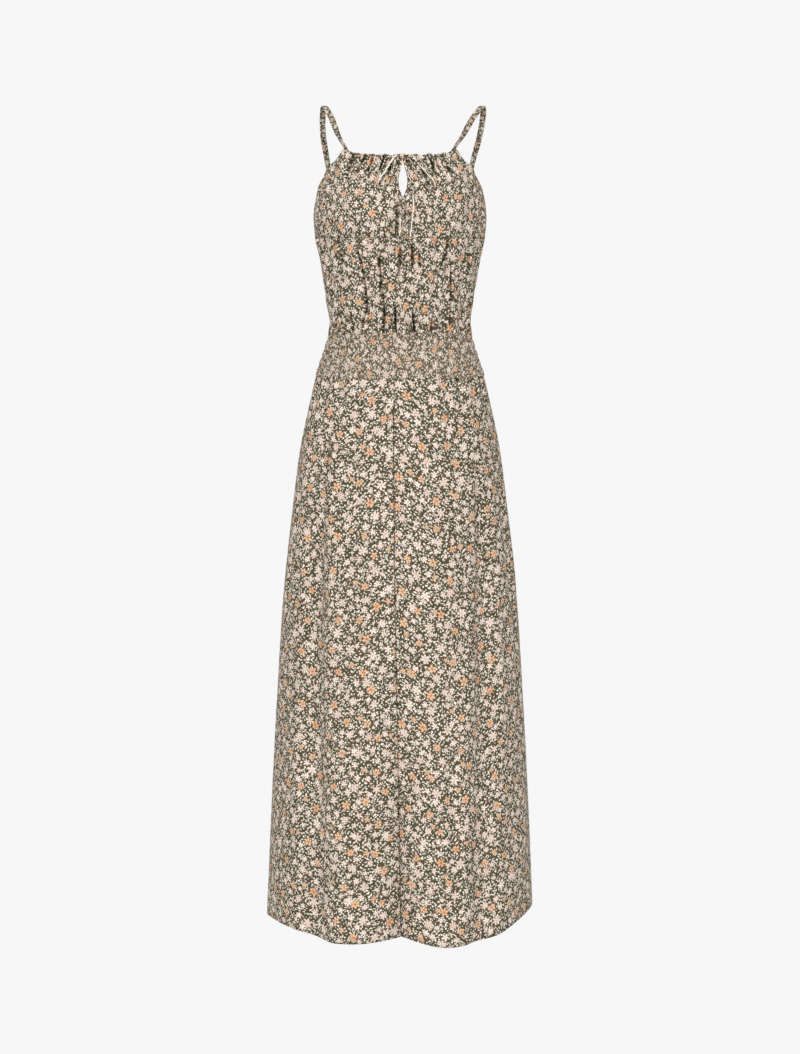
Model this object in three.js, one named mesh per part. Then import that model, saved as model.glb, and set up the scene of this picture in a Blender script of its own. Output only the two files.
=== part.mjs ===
// A sleeveless maxi sundress, filled out as if worn, in millimetres with +Z up.
// The front faces -Y, and left and right are the wearer's, so left is +X.
// The origin lies midway between the two shoulder straps, where the wearer's shoulders carry the dress.
// Every panel is a cloth wall on one family of rings round the body. An angle on a ring is in degrees:
// 0 at the centre front, 90 at the left side seam, 180 at the centre back, 270 at the right side seam.

import * as THREE from "three";

// Driving dimensions
const CLOTH = 1.5;
const SEAM_GAP = 0.3;
const EMPIRE_Z = -217;
const WAIST_TOP_Z = -372;
const WAIST_BOTTOM_Z = -446;
const HEM_Z = -1384;
const SIDE = 90;
const BACK = 180;
const TURN = 360;

// The body of the dress at chosen heights: half its width, and how far forward, sideways and back it reaches.
const SECTIONS = [
  { z: -60, halfWidth: 128, frontY: -82, sideY: 2, backY: 84 },
  { z: -100, halfWidth: 134, frontY: -94, sideY: 2, backY: 88 },
  { z: -150, halfWidth: 142, frontY: -110, sideY: 2, backY: 92 },
  { z: -190, halfWidth: 144.5, frontY: -116, sideY: 2, backY: 93 },
  { z: -217, halfWidth: 142.5, frontY: -111, sideY: 2, backY: 91 },
  { z: -254, halfWidth: 134, frontY: -103, sideY: 2, backY: 87 },
  { z: -321, halfWidth: 122, frontY: -94, sideY: 2, backY: 82 },
  { z: -354, halfWidth: 118.5, frontY: -91, sideY: 2, backY: 81 },
  { z: -376, halfWidth: 119.5, frontY: -91, sideY: 2, backY: 83 },
  { z: -400, halfWidth: 126, frontY: -94, sideY: 3, backY: 90 },
  { z: -446, halfWidth: 141, frontY: -103, sideY: 4, backY: 107 },
  { z: -489, halfWidth: 151.5, frontY: -112, sideY: 5, backY: 119 },
  { z: -574, halfWidth: 169.5, frontY: -127, sideY: 8, backY: 134 },
  { z: -659, halfWidth: 181, frontY: -139, sideY: 10, backY: 143 },
  { z: -831, halfWidth: 200, frontY: -158, sideY: 14, backY: 158 },
  { z: -1004, halfWidth: 211.5, frontY: -174, sideY: 18, backY: 170 },
  { z: -1178, halfWidth: 221.5, frontY: -187, sideY: 22, backY: 180 },
  { z: -1384, halfWidth: 231, frontY: -199, sideY: 26, backY: 190 },
];

// The top edge of a front panel, from the centre front over the strap corner and down the armhole.
const NECK_CORNER = 45;
const TOP_EDGE = [
  { angle: 0, z: -81 },
  { angle: 20, z: -80 },
  { angle: 36, z: -77 },
  { angle: NECK_CORNER, z: -71.5 },
  { angle: 53, z: -88 },
  { angle: 64, z: -103 },
  { angle: 70, z: -119 },
  { angle: 77, z: -138 },
  { angle: 83, z: -160 },
  { angle: SIDE, z: -182 },
];
const BACK_EDGE_DROP = 12;

// The centre front seam: it hangs a little off the middle, and swings across as the skirt falls.
const BODICE_SEAM = 2;
const SKIRT_SEAM = { top: -4.2, hem: 0.6 };

// The keyhole below the neck tie
const KEYHOLE = { topZ: -90, bottomZ: -152, halfWidth: 6.8, spread: 26 };

// Gathers: waves in a half turn, how deep they are at the seam, and how far they run from it
const NECK_GATHERS = { waves: 16, depth: 2.6, run: 62 };
const BACK_GATHERS = { waves: 12, depth: 2, run: 60 };
const MIDRIFF_GATHERS = { waves: 18, depth: 1.5, run: 34 };
const SKIRT_GATHERS = { waves: 14, depth: 2.2, run: 120 };
const SHIRRING = { waves: 20, depth: 0.9, rows: 3, puff: 1.3 };
const MIDRIFF_BLOUSE = 6;

// Long folds of the midriff: the angle at its top and bottom, half the width in degrees, and the depth
const MIDRIFF_FOLDS = [
  { top: -62, bottom: -56, width: 8, depth: 2.6 },
  { top: -33, bottom: -23, width: 6, depth: 5 },
  { top: -13, bottom: -11, width: 5, depth: 5 },
  { top: -2, bottom: -3, width: 4.5, depth: 4 },
  { top: 6, bottom: 8, width: 5, depth: 4.5 },
  { top: 16, bottom: 17, width: 5, depth: 3 },
  { top: 25, bottom: 28, width: 5.5, depth: 3.6 },
  { top: 35, bottom: 37, width: 5.5, depth: 4.6 },
  { top: 50, bottom: 58, width: 7, depth: 3.2 },
  { top: 68, bottom: 70, width: 7, depth: 2.4 },
];

// The skirt draws in along its centre seam, to a sharp fold that is deepest at the hem.
const SEAM_FOLD = { width: 22, startZ: -760, depth: 50 };

// Hanging folds of the skirt: the angle at its top and hem, half the width in degrees, where it
// starts and is full, and its depth there and at the hem
const SKIRT_FOLDS = [
  { top: -52, hem: -39, width: 12, startZ: -500, fullZ: -860, depth: 17, hemDepth: 13 },
  { top: 53, hem: 37, width: 12, startZ: -520, fullZ: -900, depth: 16, hemDepth: 13 },
  { top: 104, hem: 108, width: 14, startZ: -540, fullZ: -1000, depth: 12, hemDepth: 18 },
  { top: 138, hem: 143, width: 15, startZ: -520, fullZ: -1050, depth: 15, hemDepth: 24 },
  { top: 178, hem: 176, width: 16, startZ: -500, fullZ: -1000, depth: 17, hemDepth: 27 },
  { top: 216, hem: 212, width: 15, startZ: -540, fullZ: -1050, depth: 14, hemDepth: 23 },
  { top: 253, hem: 250, width: 14, startZ: -520, fullZ: -1000, depth: 12, hemDepth: 17 },
];

// How far the hem is drawn up round the skirt, the right side's angles counted backwards from the front
const HEM_RISE = [
  { angle: -BACK, rise: 0 },
  { angle: -SIDE, rise: 6 },
  { angle: -57, rise: 12 },
  { angle: -30, rise: 1.5 },
  { angle: SKIRT_SEAM.hem, rise: 7 },
  { angle: 20, rise: -3 },
  { angle: 38, rise: -1 },
  { angle: 60, rise: 17 },
  { angle: 76, rise: 23 },
  { angle: SIDE, rise: 22 },
  { angle: BACK, rise: 0 },
];

// Straps and neck tie
const STRAP = { width: 10, thickness: 2.4, steps: 18, sewnIn: 10, clear: 0.9 };
const STRAP_BACK_ANGLE = 130;
const STRAP_PLAIN = 14;
const TIE_DIAMETER = 3.6;
const TIE_SIDES = 8;
const TIE_LIFT = TIE_DIAMETER / 2 + 1;
const KNOT = { halfWidth: 6, halfDepth: 4, halfHeight: 5, z: -84, clear: 0.4 };

const CLOTH_FINISH = new THREE.MeshStandardMaterial({ color: 0x8f8671, roughness: 0.9, metalness: 0 });
const TIE_FINISH = new THREE.MeshStandardMaterial({ color: 0x7f7764, roughness: 0.9, metalness: 0 });

const radians = THREE.MathUtils.degToRad;
const lerp = THREE.MathUtils.lerp;
const clamp01 = (t) => THREE.MathUtils.clamp(t, 0, 1);
const ease = (from, to, value) => THREE.MathUtils.smoothstep((value - from) / (to - from), 0, 1);

// A column of a table at a key between its rows, on a smooth curve that doesn't overshoot them.
function column(rows, key, at, name) {
  const order = rows[0][key] < rows[rows.length - 1][key] ? rows : [...rows].reverse();
  const last = order.length - 1;
  if (at <= order[0][key]) return order[0][name];
  if (at >= order[last][key]) return order[last][name];
  const i = order.findIndex((row) => row[key] > at) - 1;
  const slope = (a) => (order[a + 1][name] - order[a][name]) / (order[a + 1][key] - order[a][key]);
  const tangent = (a) => {
    if (a === 0 || a === last) return slope(Math.min(a, last - 1));
    const before = slope(a - 1);
    const after = slope(a);
    return before * after <= 0 ? 0 : (2 * before * after) / (before + after);
  };
  const span = order[i + 1][key] - order[i][key];
  const t = (at - order[i][key]) / span;
  const bend = t * t * (3 - 2 * t);
  const leave = (t ** 3 - 2 * t * t + t) * span * tangent(i);
  const arrive = (t ** 3 - t * t) * span * tangent(i + 1);
  return lerp(order[i][name], order[i + 1][name], bend) + leave + arrive;
}

// A point of the plain ring at a height: an ellipse whose front and back halves differ.
function ring(angle, z) {
  const at = (name) => column(SECTIONS, "z", z, name);
  const turn = radians(angle);
  const reach = Math.cos(turn) > 0 ? at("frontY") : at("backY");
  const y = lerp(at("sideY"), reach, Math.abs(Math.cos(turn)));
  return new THREE.Vector2(at("halfWidth") * Math.sin(turn), y);
}

// The ring's outward direction, level with the ground.
function outward(angle, z, ringAt) {
  const step = 0.05;
  const along = ringAt(angle + step, z).sub(ringAt(angle - step, z));
  return new THREE.Vector2(along.y, -along.x).normalize();
}

// A soft trough: 1 on its line, 0 at half its width and beyond.
const trough = (away, width) => (Math.abs(away) < width ? 0.5 + 0.5 * Math.cos((Math.PI * away) / width) : 0);

// A crease: like a trough, with a sharp bottom.
const crease = (away, width) => (Math.abs(away) < width ? (1 - Math.abs(away) / width) ** 1.6 : 0);

// Even waves round a half turn, with their depth swelling and shrinking along it.
function waves(angle, gathers) {
  const turn = radians(angle);
  const swell = 0.75 + 0.25 * Math.sin(3.3 * turn + 0.6);
  return gathers.depth * swell * Math.cos(2 * gathers.waves * turn + 0.7 * Math.sin(2.1 * turn));
}

// The signed angle of a point from the centre front, so that the right half is negative.
const signed = (angle) => (angle > BACK ? angle - TURN : angle);

const topEdge = (angle) => column(TOP_EDGE, "angle", Math.abs(signed(angle)), "z");

function backEdge(angle) {
  const fromSide = Math.cos(radians(angle - BACK));
  return TOP_EDGE[TOP_EDGE.length - 1].z - BACK_EDGE_DROP * ease(0, 1, fromSide);
}

// How far each part of the dress stands off its plain ring.
function bodiceFrontLift(angle, z) {
  const below = topEdge(angle) - z;
  const neckline = ease(NECK_CORNER - 3, NECK_CORNER - 13, Math.abs(angle));
  return neckline * waves(angle, NECK_GATHERS) * ease(NECK_GATHERS.run, 0, below);
}

function bodiceBackLift(angle, z) {
  const below = backEdge(angle) - z;
  const above = z - WAIST_TOP_Z;
  const fade = ease(BACK_GATHERS.run, 0, below) + 0.8 * ease(BACK_GATHERS.run, 0, above);
  const nearSide = ease(0, 16, Math.min(angle - SIDE, TURN - SIDE - angle));
  const besideStrap = 1 - trough(Math.abs(signed(angle)) - STRAP_BACK_ANGLE, STRAP_PLAIN);
  return nearSide * besideStrap * waves(angle, BACK_GATHERS) * fade;
}

function midriffLift(angle, z) {
  const down = (EMPIRE_Z - z) / (EMPIRE_Z - WAIST_TOP_Z);
  const nearSide = ease(SIDE, SIDE - 18, Math.abs(angle));
  const atSeams = ease(MIDRIFF_GATHERS.run, 0, EMPIRE_Z - z) + ease(MIDRIFF_GATHERS.run, 0, z - WAIST_TOP_Z);
  let lift = MIDRIFF_BLOUSE * Math.sin(Math.PI * down ** 1.4) * nearSide;
  lift += waves(angle, MIDRIFF_GATHERS) * atSeams * nearSide;
  for (const fold of MIDRIFF_FOLDS) {
    const away = angle - lerp(fold.top, fold.bottom, down);
    lift -= fold.depth * crease(away, fold.width) * nearSide;
  }
  return lift;
}

function shirringLift(angle, z) {
  const down = (WAIST_TOP_Z - z) / (WAIST_TOP_Z - WAIST_BOTTOM_Z);
  const puff = Math.abs(Math.sin(Math.PI * SHIRRING.rows * down));
  const nearSide = ease(0, 6, Math.abs(Math.abs(signed(angle)) - SIDE));
  return SHIRRING.puff * puff + nearSide * waves(angle, SHIRRING) * (0.45 + 0.55 * puff);
}

function skirtLift(angle, z) {
  const turn = signed(angle);
  const nearSide = ease(0, 10, Math.abs(Math.abs(turn) - SIDE));
  let lift = nearSide * waves(angle, SKIRT_GATHERS) * ease(SKIRT_GATHERS.run, 0, WAIST_BOTTOM_Z - z);
  const drawn = ease(SEAM_FOLD.startZ, HEM_Z, z);
  lift -= SEAM_FOLD.depth * drawn * crease(turn - skirtSeam(z), SEAM_FOLD.width);
  for (const fold of SKIRT_FOLDS) {
    const line = lerp(fold.top, fold.hem, skirtDown(z));
    const away = signed((angle - line + 2 * TURN) % TURN);
    const grown = ease(fold.startZ, fold.fullZ, z);
    const depth = lerp(fold.depth, fold.hemDepth, ease(fold.fullZ, HEM_Z, z));
    lift -= grown * depth * trough(away, fold.width);
  }
  return lift;
}

// The keyhole pushes the two front panels apart at the centre.
function keyholeHalfWidth(z) {
  const up = clamp01((z - KEYHOLE.bottomZ) / (KEYHOLE.topZ - KEYHOLE.bottomZ));
  return KEYHOLE.halfWidth * Math.sin(Math.PI * up ** 0.85) ** 1.3 + 0.6 * up;
}

// The outer and inner points of a cloth wall, level with each other, on a ring with a given lift.
function clothPoint(angle, z, liftAt, sideways = 0) {
  const lifted = (a, h) => ring(a, h).addScaledVector(outward(a, h, ring), liftAt(a, h));
  const out = outward(angle, z, lifted);
  const outer = lifted(angle, z);
  outer.x += sideways;
  const inner = outer.clone().addScaledVector(out, -CLOTH);
  return { outer: [outer.x, outer.y, z], inner: [inner.x, inner.y, z] };
}

// A closed solid from a grid of outer and inner points: both faces, and the wall's four edges.
function wallGeometry(columns, rows, pointAt) {
  const across = columns + 1;
  const positions = [];
  for (const side of ["outer", "inner"]) {
    for (let j = 0; j <= rows; j++) {
      for (let i = 0; i <= columns; i++) positions.push(...pointAt(i / columns, j / rows)[side]);
    }
  }
  const inside = across * (rows + 1);
  const at = (i, j) => j * across + i;
  const triangles = [];
  const quad = (a, b, c, d) => triangles.push(a, b, c, a, c, d);
  for (let j = 0; j < rows; j++) {
    for (let i = 0; i < columns; i++) {
      const [a, b, c, d] = [at(i, j), at(i + 1, j), at(i + 1, j + 1), at(i, j + 1)];
      quad(a, b, c, d);
      quad(inside + d, inside + c, inside + b, inside + a);
    }
  }
  const edge = (a, b) => quad(b, a, inside + a, inside + b);
  for (let i = 0; i < columns; i++) {
    edge(at(i, 0), at(i + 1, 0));
    edge(at(i + 1, rows), at(i, rows));
  }
  for (let j = 0; j < rows; j++) {
    edge(at(0, j + 1), at(0, j));
    edge(at(columns, j), at(columns, j + 1));
  }
  const geometry = new THREE.BufferGeometry();
  geometry.setAttribute("position", new THREE.Float32BufferAttribute(positions, 3));
  geometry.setIndex(triangles);
  geometry.computeVertexNormals();
  return geometry;
}

// A panel between two seams and two edges. A seam's angle may change with height, and its panel stops
// half a gap short of it. The rows run from the lower edge up, set by rowAt.
function panel(name, { from, to, columns, rows, bottomAt, topAt, liftAt, sidewaysAt, rowAt = (v) => v }) {
  const trim = (angle, z) => (SEAM_GAP / 2) * (0.1 / ring(angle + 0.05, z).distanceTo(ring(angle - 0.05, z)));
  const geometry = wallGeometry(columns, rows, (u, v) => {
    const across = lerp(from(HEM_Z), to(HEM_Z), u);
    const z = lerp(bottomAt(across) + SEAM_GAP / 2, topAt(across) - SEAM_GAP / 2, rowAt(v));
    const angle = lerp(from(z) + trim(from(z), z), to(z) - trim(to(z), z), u);
    return clothPoint(angle, z, liftAt, sidewaysAt ? sidewaysAt(angle, z) : 0);
  });
  return named(name, geometry, CLOTH_FINISH);
}

function named(name, geometry, material) {
  const mesh = new THREE.Mesh(geometry, material);
  mesh.name = name;
  return mesh;
}

const fixed = (value) => () => value;

// Front bodice: two halves that meet in a centre seam, left open above it as the keyhole.
function bodiceFront(name, side) {
  const sidewaysAt = (angle, z) => {
    const near = ease(KEYHOLE.spread, 0, Math.abs(angle - BODICE_SEAM));
    return side * keyholeHalfWidth(z) * near;
  };
  const [from, to] = side > 0 ? [BODICE_SEAM, SIDE] : [-SIDE, BODICE_SEAM];
  return panel(name, {
    from: fixed(from),
    to: fixed(to),
    columns: 30,
    rows: 9,
    bottomAt: fixed(EMPIRE_Z),
    topAt: topEdge,
    liftAt: bodiceFrontLift,
    sidewaysAt,
  });
}

function bodiceBack() {
  return panel("bodice_back", {
    from: fixed(SIDE),
    to: fixed(TURN - SIDE),
    columns: 44,
    rows: 5,
    bottomAt: fixed(WAIST_TOP_Z),
    topAt: backEdge,
    liftAt: bodiceBackLift,
  });
}

function midriffFront() {
  return panel("midriff_front", {
    from: fixed(-SIDE),
    to: fixed(SIDE),
    columns: 72,
    rows: 5,
    bottomAt: fixed(WAIST_TOP_Z),
    topAt: fixed(EMPIRE_Z),
    liftAt: midriffLift,
  });
}

function waistband(name, from, to) {
  return panel(name, {
    from: fixed(from),
    to: fixed(to),
    columns: 3 * SHIRRING.waves,
    rows: 2 * SHIRRING.rows,
    bottomAt: fixed(WAIST_BOTTOM_Z),
    topAt: fixed(WAIST_TOP_Z),
    liftAt: shirringLift,
  });
}

const skirtDown = (z) => clamp01((WAIST_BOTTOM_Z - z) / (WAIST_BOTTOM_Z - HEM_Z));
const skirtSeam = (z) => lerp(SKIRT_SEAM.top, SKIRT_SEAM.hem, skirtDown(z));

const hemAt = (angle) => HEM_Z + column(HEM_RISE, "angle", signed(angle), "rise");

function skirtPanel(name, from, to, columns) {
  return panel(name, {
    from,
    to,
    columns,
    rows: 8,
    bottomAt: hemAt,
    topAt: fixed(WAIST_BOTTOM_Z),
    liftAt: skirtLift,
    rowAt: (v) => 1 - (1 - v) ** 1.7,
  });
}

// A strap's flat band along a curve, its width kept as near to a given direction as the curve allows.
function bandGeometry(curve, sidewaysAt) {
  const { width, thickness, steps } = STRAP;
  const rounding = 0.35;
  const section = [];
  for (const [across, deep] of [
    [1, -rounding],
    [1, rounding],
    [0.8, 1],
    [-0.8, 1],
    [-1, rounding],
    [-1, -rounding],
    [-0.8, -1],
    [0.8, -1],
  ]) {
    section.push([(across * width) / 2, (deep * thickness) / 2]);
  }
  const count = section.length;
  const positions = [];
  for (let j = 0; j <= steps; j++) {
    const along = curve.getTangentAt(j / steps);
    const place = curve.getPointAt(j / steps);
    const sideways = sidewaysAt(j / steps);
    const flat = sideways.clone().addScaledVector(along, -sideways.dot(along)).normalize();
    const deep = new THREE.Vector3().crossVectors(along, flat);
    for (const [a, d] of section) {
      positions.push(...place.clone().addScaledVector(flat, a).addScaledVector(deep, d).toArray());
    }
  }
  const triangles = [];
  for (let j = 0; j < steps; j++) {
    for (let i = 0; i < count; i++) {
      const next = (i + 1) % count;
      const [a, b, c, d] = [j * count + i, j * count + next, (j + 1) * count + next, (j + 1) * count + i];
      triangles.push(a, b, c, a, c, d);
    }
  }
  const last = steps * count;
  for (let i = 1; i < count - 1; i++) {
    triangles.push(0, i + 1, i);
    triangles.push(last, last + i, last + i + 1);
  }
  const geometry = new THREE.BufferGeometry();
  geometry.setAttribute("position", new THREE.Float32BufferAttribute(positions, 3));
  geometry.setIndex(triangles);
  geometry.computeVertexNormals();
  return geometry;
}

// A place just inside a panel, where a strap is sewn to it.
function sewnPlace(angle, z, liftAt) {
  const { outer, inner } = clothPoint(angle, z, liftAt);
  const depth = (CLOTH + STRAP.clear + STRAP.thickness / 2) / CLOTH;
  return new THREE.Vector3(lerp(outer[0], inner[0], depth), lerp(outer[1], inner[1], depth), z);
}

// A strap: sewn inside the neck corner, over the shoulder, and sewn inside the back's top edge.
// Over the shoulders both straps lean a little to the left.
const STRAP_ROUTE = [
  { x: 102, y: -42, z: -50, lean: 1 },
  { x: 117, y: -24, z: -20, lean: 3.5 },
  { x: 127.5, y: -7, z: -3.5, lean: 5 },
  { x: 132.5, y: 8, z: 1.2, lean: 5.5 },
  { x: 134.5, y: 23, z: -10, lean: 5 },
  { x: 132, y: 38, z: -45, lean: 2.5 },
  { x: 122, y: 54, z: -95, lean: 0 },
];

function strap(name, side) {
  const backAngle = side > 0 ? STRAP_BACK_ANGLE : TURN - STRAP_BACK_ANGLE;
  const neck = topEdge(NECK_CORNER);
  const back = backEdge(backAngle);
  const sewn = [
    sewnPlace(side * (NECK_CORNER - 2.4), neck - STRAP.sewnIn, bodiceFrontLift),
    sewnPlace(side * (NECK_CORNER - 0.4), neck, bodiceFrontLift),
    sewnPlace(backAngle, back, bodiceBackLift),
    sewnPlace(backAngle, back - STRAP.sewnIn, bodiceBackLift),
  ];
  const over = STRAP_ROUTE.map(({ x, y, z, lean }) => new THREE.Vector3(side * x + lean, y, z));
  const route = [sewn[0], sewn[1], ...over, sewn[2], sewn[3]];
  const curve = new THREE.CatmullRomCurve3(route, false, "centripetal");
  const along = (angle, z) => {
    const out = outward(angle, z, ring);
    return new THREE.Vector3(Math.abs(out.y), -out.x * Math.sign(out.y), 0);
  };
  const frontFlat = along(side * NECK_CORNER, neck);
  const backFlat = along(backAngle, back);
  const level = new THREE.Vector3(1, 0, 0);
  const sidewaysAt = (t) =>
    t < 0.5
      ? frontFlat.clone().lerp(level, ease(0.08, 0.4, t))
      : level.clone().lerp(backFlat, ease(0.55, 0.9, t));
  return named(name, bandGeometry(curve, sidewaysAt), CLOTH_FINISH);
}

// A round tie along places on the ridges of the front bodice, each moved out from them by its lift.
function tiePath(places) {
  const ridge = (angle, z) => NECK_GATHERS.depth * ease(NECK_GATHERS.run, 0, topEdge(angle) - z);
  const points = places.map(({ angle, z, lift }) => {
    const { outer, inner } = clothPoint(BODICE_SEAM + angle, z, ridge);
    const out = (lift + CLOTH) / CLOTH;
    return new THREE.Vector3(lerp(inner[0], outer[0], out), lerp(inner[1], outer[1], out), z);
  });
  return new THREE.CatmullRomCurve3(points, false, "centripetal");
}

function tie(name, places, steps) {
  const section = new THREE.Shape();
  for (let i = 0; i <= TIE_SIDES; i++) {
    const turn = (2 * Math.PI * i) / TIE_SIDES;
    const corner = [(TIE_DIAMETER / 2) * Math.cos(turn), (TIE_DIAMETER / 2) * Math.sin(turn)];
    if (i === 0) section.moveTo(...corner);
    else if (i < TIE_SIDES) section.lineTo(...corner);
    else section.closePath();
  }
  const geometry = new THREE.ExtrudeGeometry(section, { steps, extrudePath: tiePath(places) });
  return named(name, geometry, TIE_FINISH);
}

// The bow: each loop leaves the knot and comes back to it, and each tail hangs down the bodice.
// Angles are counted from the centre front seam.
const LOOP_LEFT = [
  { angle: 2.9, z: -81.8, lift: 2.8 },
  { angle: 6.5, z: -86, lift: 3 },
  { angle: 12, z: -99, lift: TIE_LIFT },
  { angle: 18, z: -115, lift: TIE_LIFT },
  { angle: 22, z: -126.5, lift: TIE_LIFT },
  { angle: 21.6, z: -135, lift: TIE_LIFT },
  { angle: 17.2, z: -135.5, lift: TIE_LIFT },
  { angle: 12.2, z: -123, lift: TIE_LIFT },
  { angle: 8, z: -106, lift: TIE_LIFT },
  { angle: 5.6, z: -93, lift: 3 },
  { angle: 2.9, z: -86.4, lift: 2.8 },
];
const LOOP_RIGHT = [
  { angle: -3.05, z: -81.8, lift: 2.8 },
  { angle: -6.2, z: -86.5, lift: 3 },
  { angle: -10.2, z: -102, lift: TIE_LIFT },
  { angle: -14.6, z: -119, lift: TIE_LIFT },
  { angle: -16.8, z: -128, lift: TIE_LIFT },
  { angle: -15.2, z: -134.5, lift: TIE_LIFT },
  { angle: -11.2, z: -132, lift: TIE_LIFT },
  { angle: -8.8, z: -121, lift: TIE_LIFT },
  { angle: -6.9, z: -106, lift: TIE_LIFT },
  { angle: -5.3, z: -93.5, lift: 3 },
  { angle: -3.05, z: -86.4, lift: 2.8 },
];
const TAIL_LEFT = [
  { angle: 1, z: -89, lift: 2.8 },
  { angle: 1.5, z: -99, lift: 3 },
  { angle: 3.8, z: -115, lift: TIE_LIFT },
  { angle: 6.1, z: -136, lift: TIE_LIFT },
  { angle: 7, z: -160, lift: TIE_LIFT },
  { angle: 6.1, z: -186, lift: TIE_LIFT },
  { angle: 4.9, z: -214, lift: TIE_LIFT },
];
const TAIL_RIGHT = [
  { angle: -1, z: -89, lift: 2.8 },
  { angle: -1.5, z: -99, lift: 3 },
  { angle: -3.4, z: -116, lift: TIE_LIFT },
  { angle: -3.9, z: -138, lift: TIE_LIFT },
  { angle: -2.6, z: -163, lift: TIE_LIFT },
  { angle: -1.6, z: -188, lift: TIE_LIFT },
  { angle: -1.9, z: -213, lift: TIE_LIFT },
];

function knot() {
  const geometry = new THREE.SphereGeometry(1, 10, 7);
  geometry.scale(KNOT.halfWidth, KNOT.halfDepth, KNOT.halfHeight);
  const mesh = named("tie_knot", geometry, TIE_FINISH);
  const [x, y] = clothPoint(BODICE_SEAM, KNOT.z, bodiceFrontLift).outer;
  mesh.position.set(x, y - KNOT.halfDepth - KNOT.clear, KNOT.z);
  return mesh;
}

const dress = new THREE.Group();
dress.add(
  bodiceFront("bodice_front_left", 1),
  bodiceFront("bodice_front_right", -1),
  bodiceBack(),
  midriffFront(),
  waistband("waistband_front", -SIDE, SIDE),
  waistband("waistband_back", SIDE, TURN - SIDE),
  skirtPanel("skirt_front_left", skirtSeam, fixed(SIDE), 28),
  skirtPanel("skirt_front_right", fixed(-SIDE), skirtSeam, 28),
  skirtPanel("skirt_back", fixed(SIDE), fixed(TURN - SIDE), 52),
  strap("strap_left", 1),
  strap("strap_right", -1),
  knot(),
  tie("tie_loop_left", LOOP_LEFT, 22),
  tie("tie_loop_right", LOOP_RIGHT, 22),
  tie("tie_tail_left", TAIL_LEFT, 18),
  tie("tie_tail_right", TAIL_RIGHT, 18),
);

export default dress;
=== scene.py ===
"""A sleeveless maxi sundress in a small flower print, hollow and filled out as if worn.

Sizes are in millimetres until a mesh is made, and then in metres. The front faces -Y, and left and right are
the wearer's, so left is +X. Every panel of cloth lies on one family of rings round the body. An angle on a
ring is in degrees: 0 at the centre front, 90 at the left side seam, 180 at the centre back, 270 at the right
side seam. A lift is how far the cloth stands off its plain ring.
"""

import logging
import math
from collections.abc import Callable, Sequence
from dataclasses import dataclass
from enum import Enum
from typing import NamedTuple

import bpy
import numpy as np
from numpy.typing import NDArray
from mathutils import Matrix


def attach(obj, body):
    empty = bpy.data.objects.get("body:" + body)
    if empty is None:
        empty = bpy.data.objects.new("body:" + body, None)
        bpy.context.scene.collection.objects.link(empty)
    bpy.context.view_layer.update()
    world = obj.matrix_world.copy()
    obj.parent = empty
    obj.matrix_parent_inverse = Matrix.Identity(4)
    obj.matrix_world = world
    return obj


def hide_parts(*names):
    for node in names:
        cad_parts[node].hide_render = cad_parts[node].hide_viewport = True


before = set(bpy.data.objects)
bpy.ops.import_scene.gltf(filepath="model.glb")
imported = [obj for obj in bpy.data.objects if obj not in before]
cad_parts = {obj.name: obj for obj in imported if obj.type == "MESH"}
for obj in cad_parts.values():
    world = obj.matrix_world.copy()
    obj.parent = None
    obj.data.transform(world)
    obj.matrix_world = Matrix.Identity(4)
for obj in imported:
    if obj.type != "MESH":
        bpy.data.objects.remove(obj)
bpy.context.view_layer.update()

Array = NDArray[np.float64]
Field = Callable[[Array, Array], Array]
Line = Callable[[Array], Array]
Colour = tuple[float, float, float, float]
Quads = NDArray[np.int32]
Node = bpy.types.Node
Socket = bpy.types.NodeSocket
Material = bpy.types.Material

LOG = logging.getLogger("sundress")
MM = 0.001
NEVER_ZERO = 1e-9

CLOTH_THICKNESS = 0.9
SEAM_GAP = 0.04
SEAM_EASE = 6.0
SEAM_DIP = 1.6
EMPIRE_Z = -217.0
WAIST_TOP_Z = -372.0
WAIST_BOTTOM_Z = -446.0
HEM_Z = -1384.0
SIDE = 90.0
BACK = 180.0
TURN = 360.0


class Section(NamedTuple):
    """The dress's body at one height: half its width, and its reach to the front, side and back."""

    z: float
    half_width: float
    front_y: float
    side_y: float
    back_y: float


SECTIONS = (
    Section(-60, 128, -82, 2, 84),
    Section(-100, 134, -94, 2, 88),
    Section(-150, 142, -110, 2, 92),
    Section(-190, 144.5, -116, 2, 93),
    Section(-217, 142.5, -111, 2, 91),
    Section(-254, 134, -103, 2, 87),
    Section(-321, 122, -94, 2, 82),
    Section(-354, 118.5, -91, 2, 81),
    Section(-376, 119.5, -91, 2, 83),
    Section(-400, 126, -94, 3, 90),
    Section(-446, 141, -103, 4, 107),
    Section(-489, 151.5, -112, 5, 119),
    Section(-574, 169.5, -127, 8, 134),
    Section(-659, 181, -139, 10, 143),
    Section(-831, 200, -158, 14, 158),
    Section(-1004, 211.5, -174, 18, 170),
    Section(-1178, 221.5, -187, 22, 180),
    Section(-1384, 231, -199, 26, 190),
)


class EdgePoint(NamedTuple):
    """A place on an edge of the cloth: its angle, and its height or rise."""

    angle: float
    z: float


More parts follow.
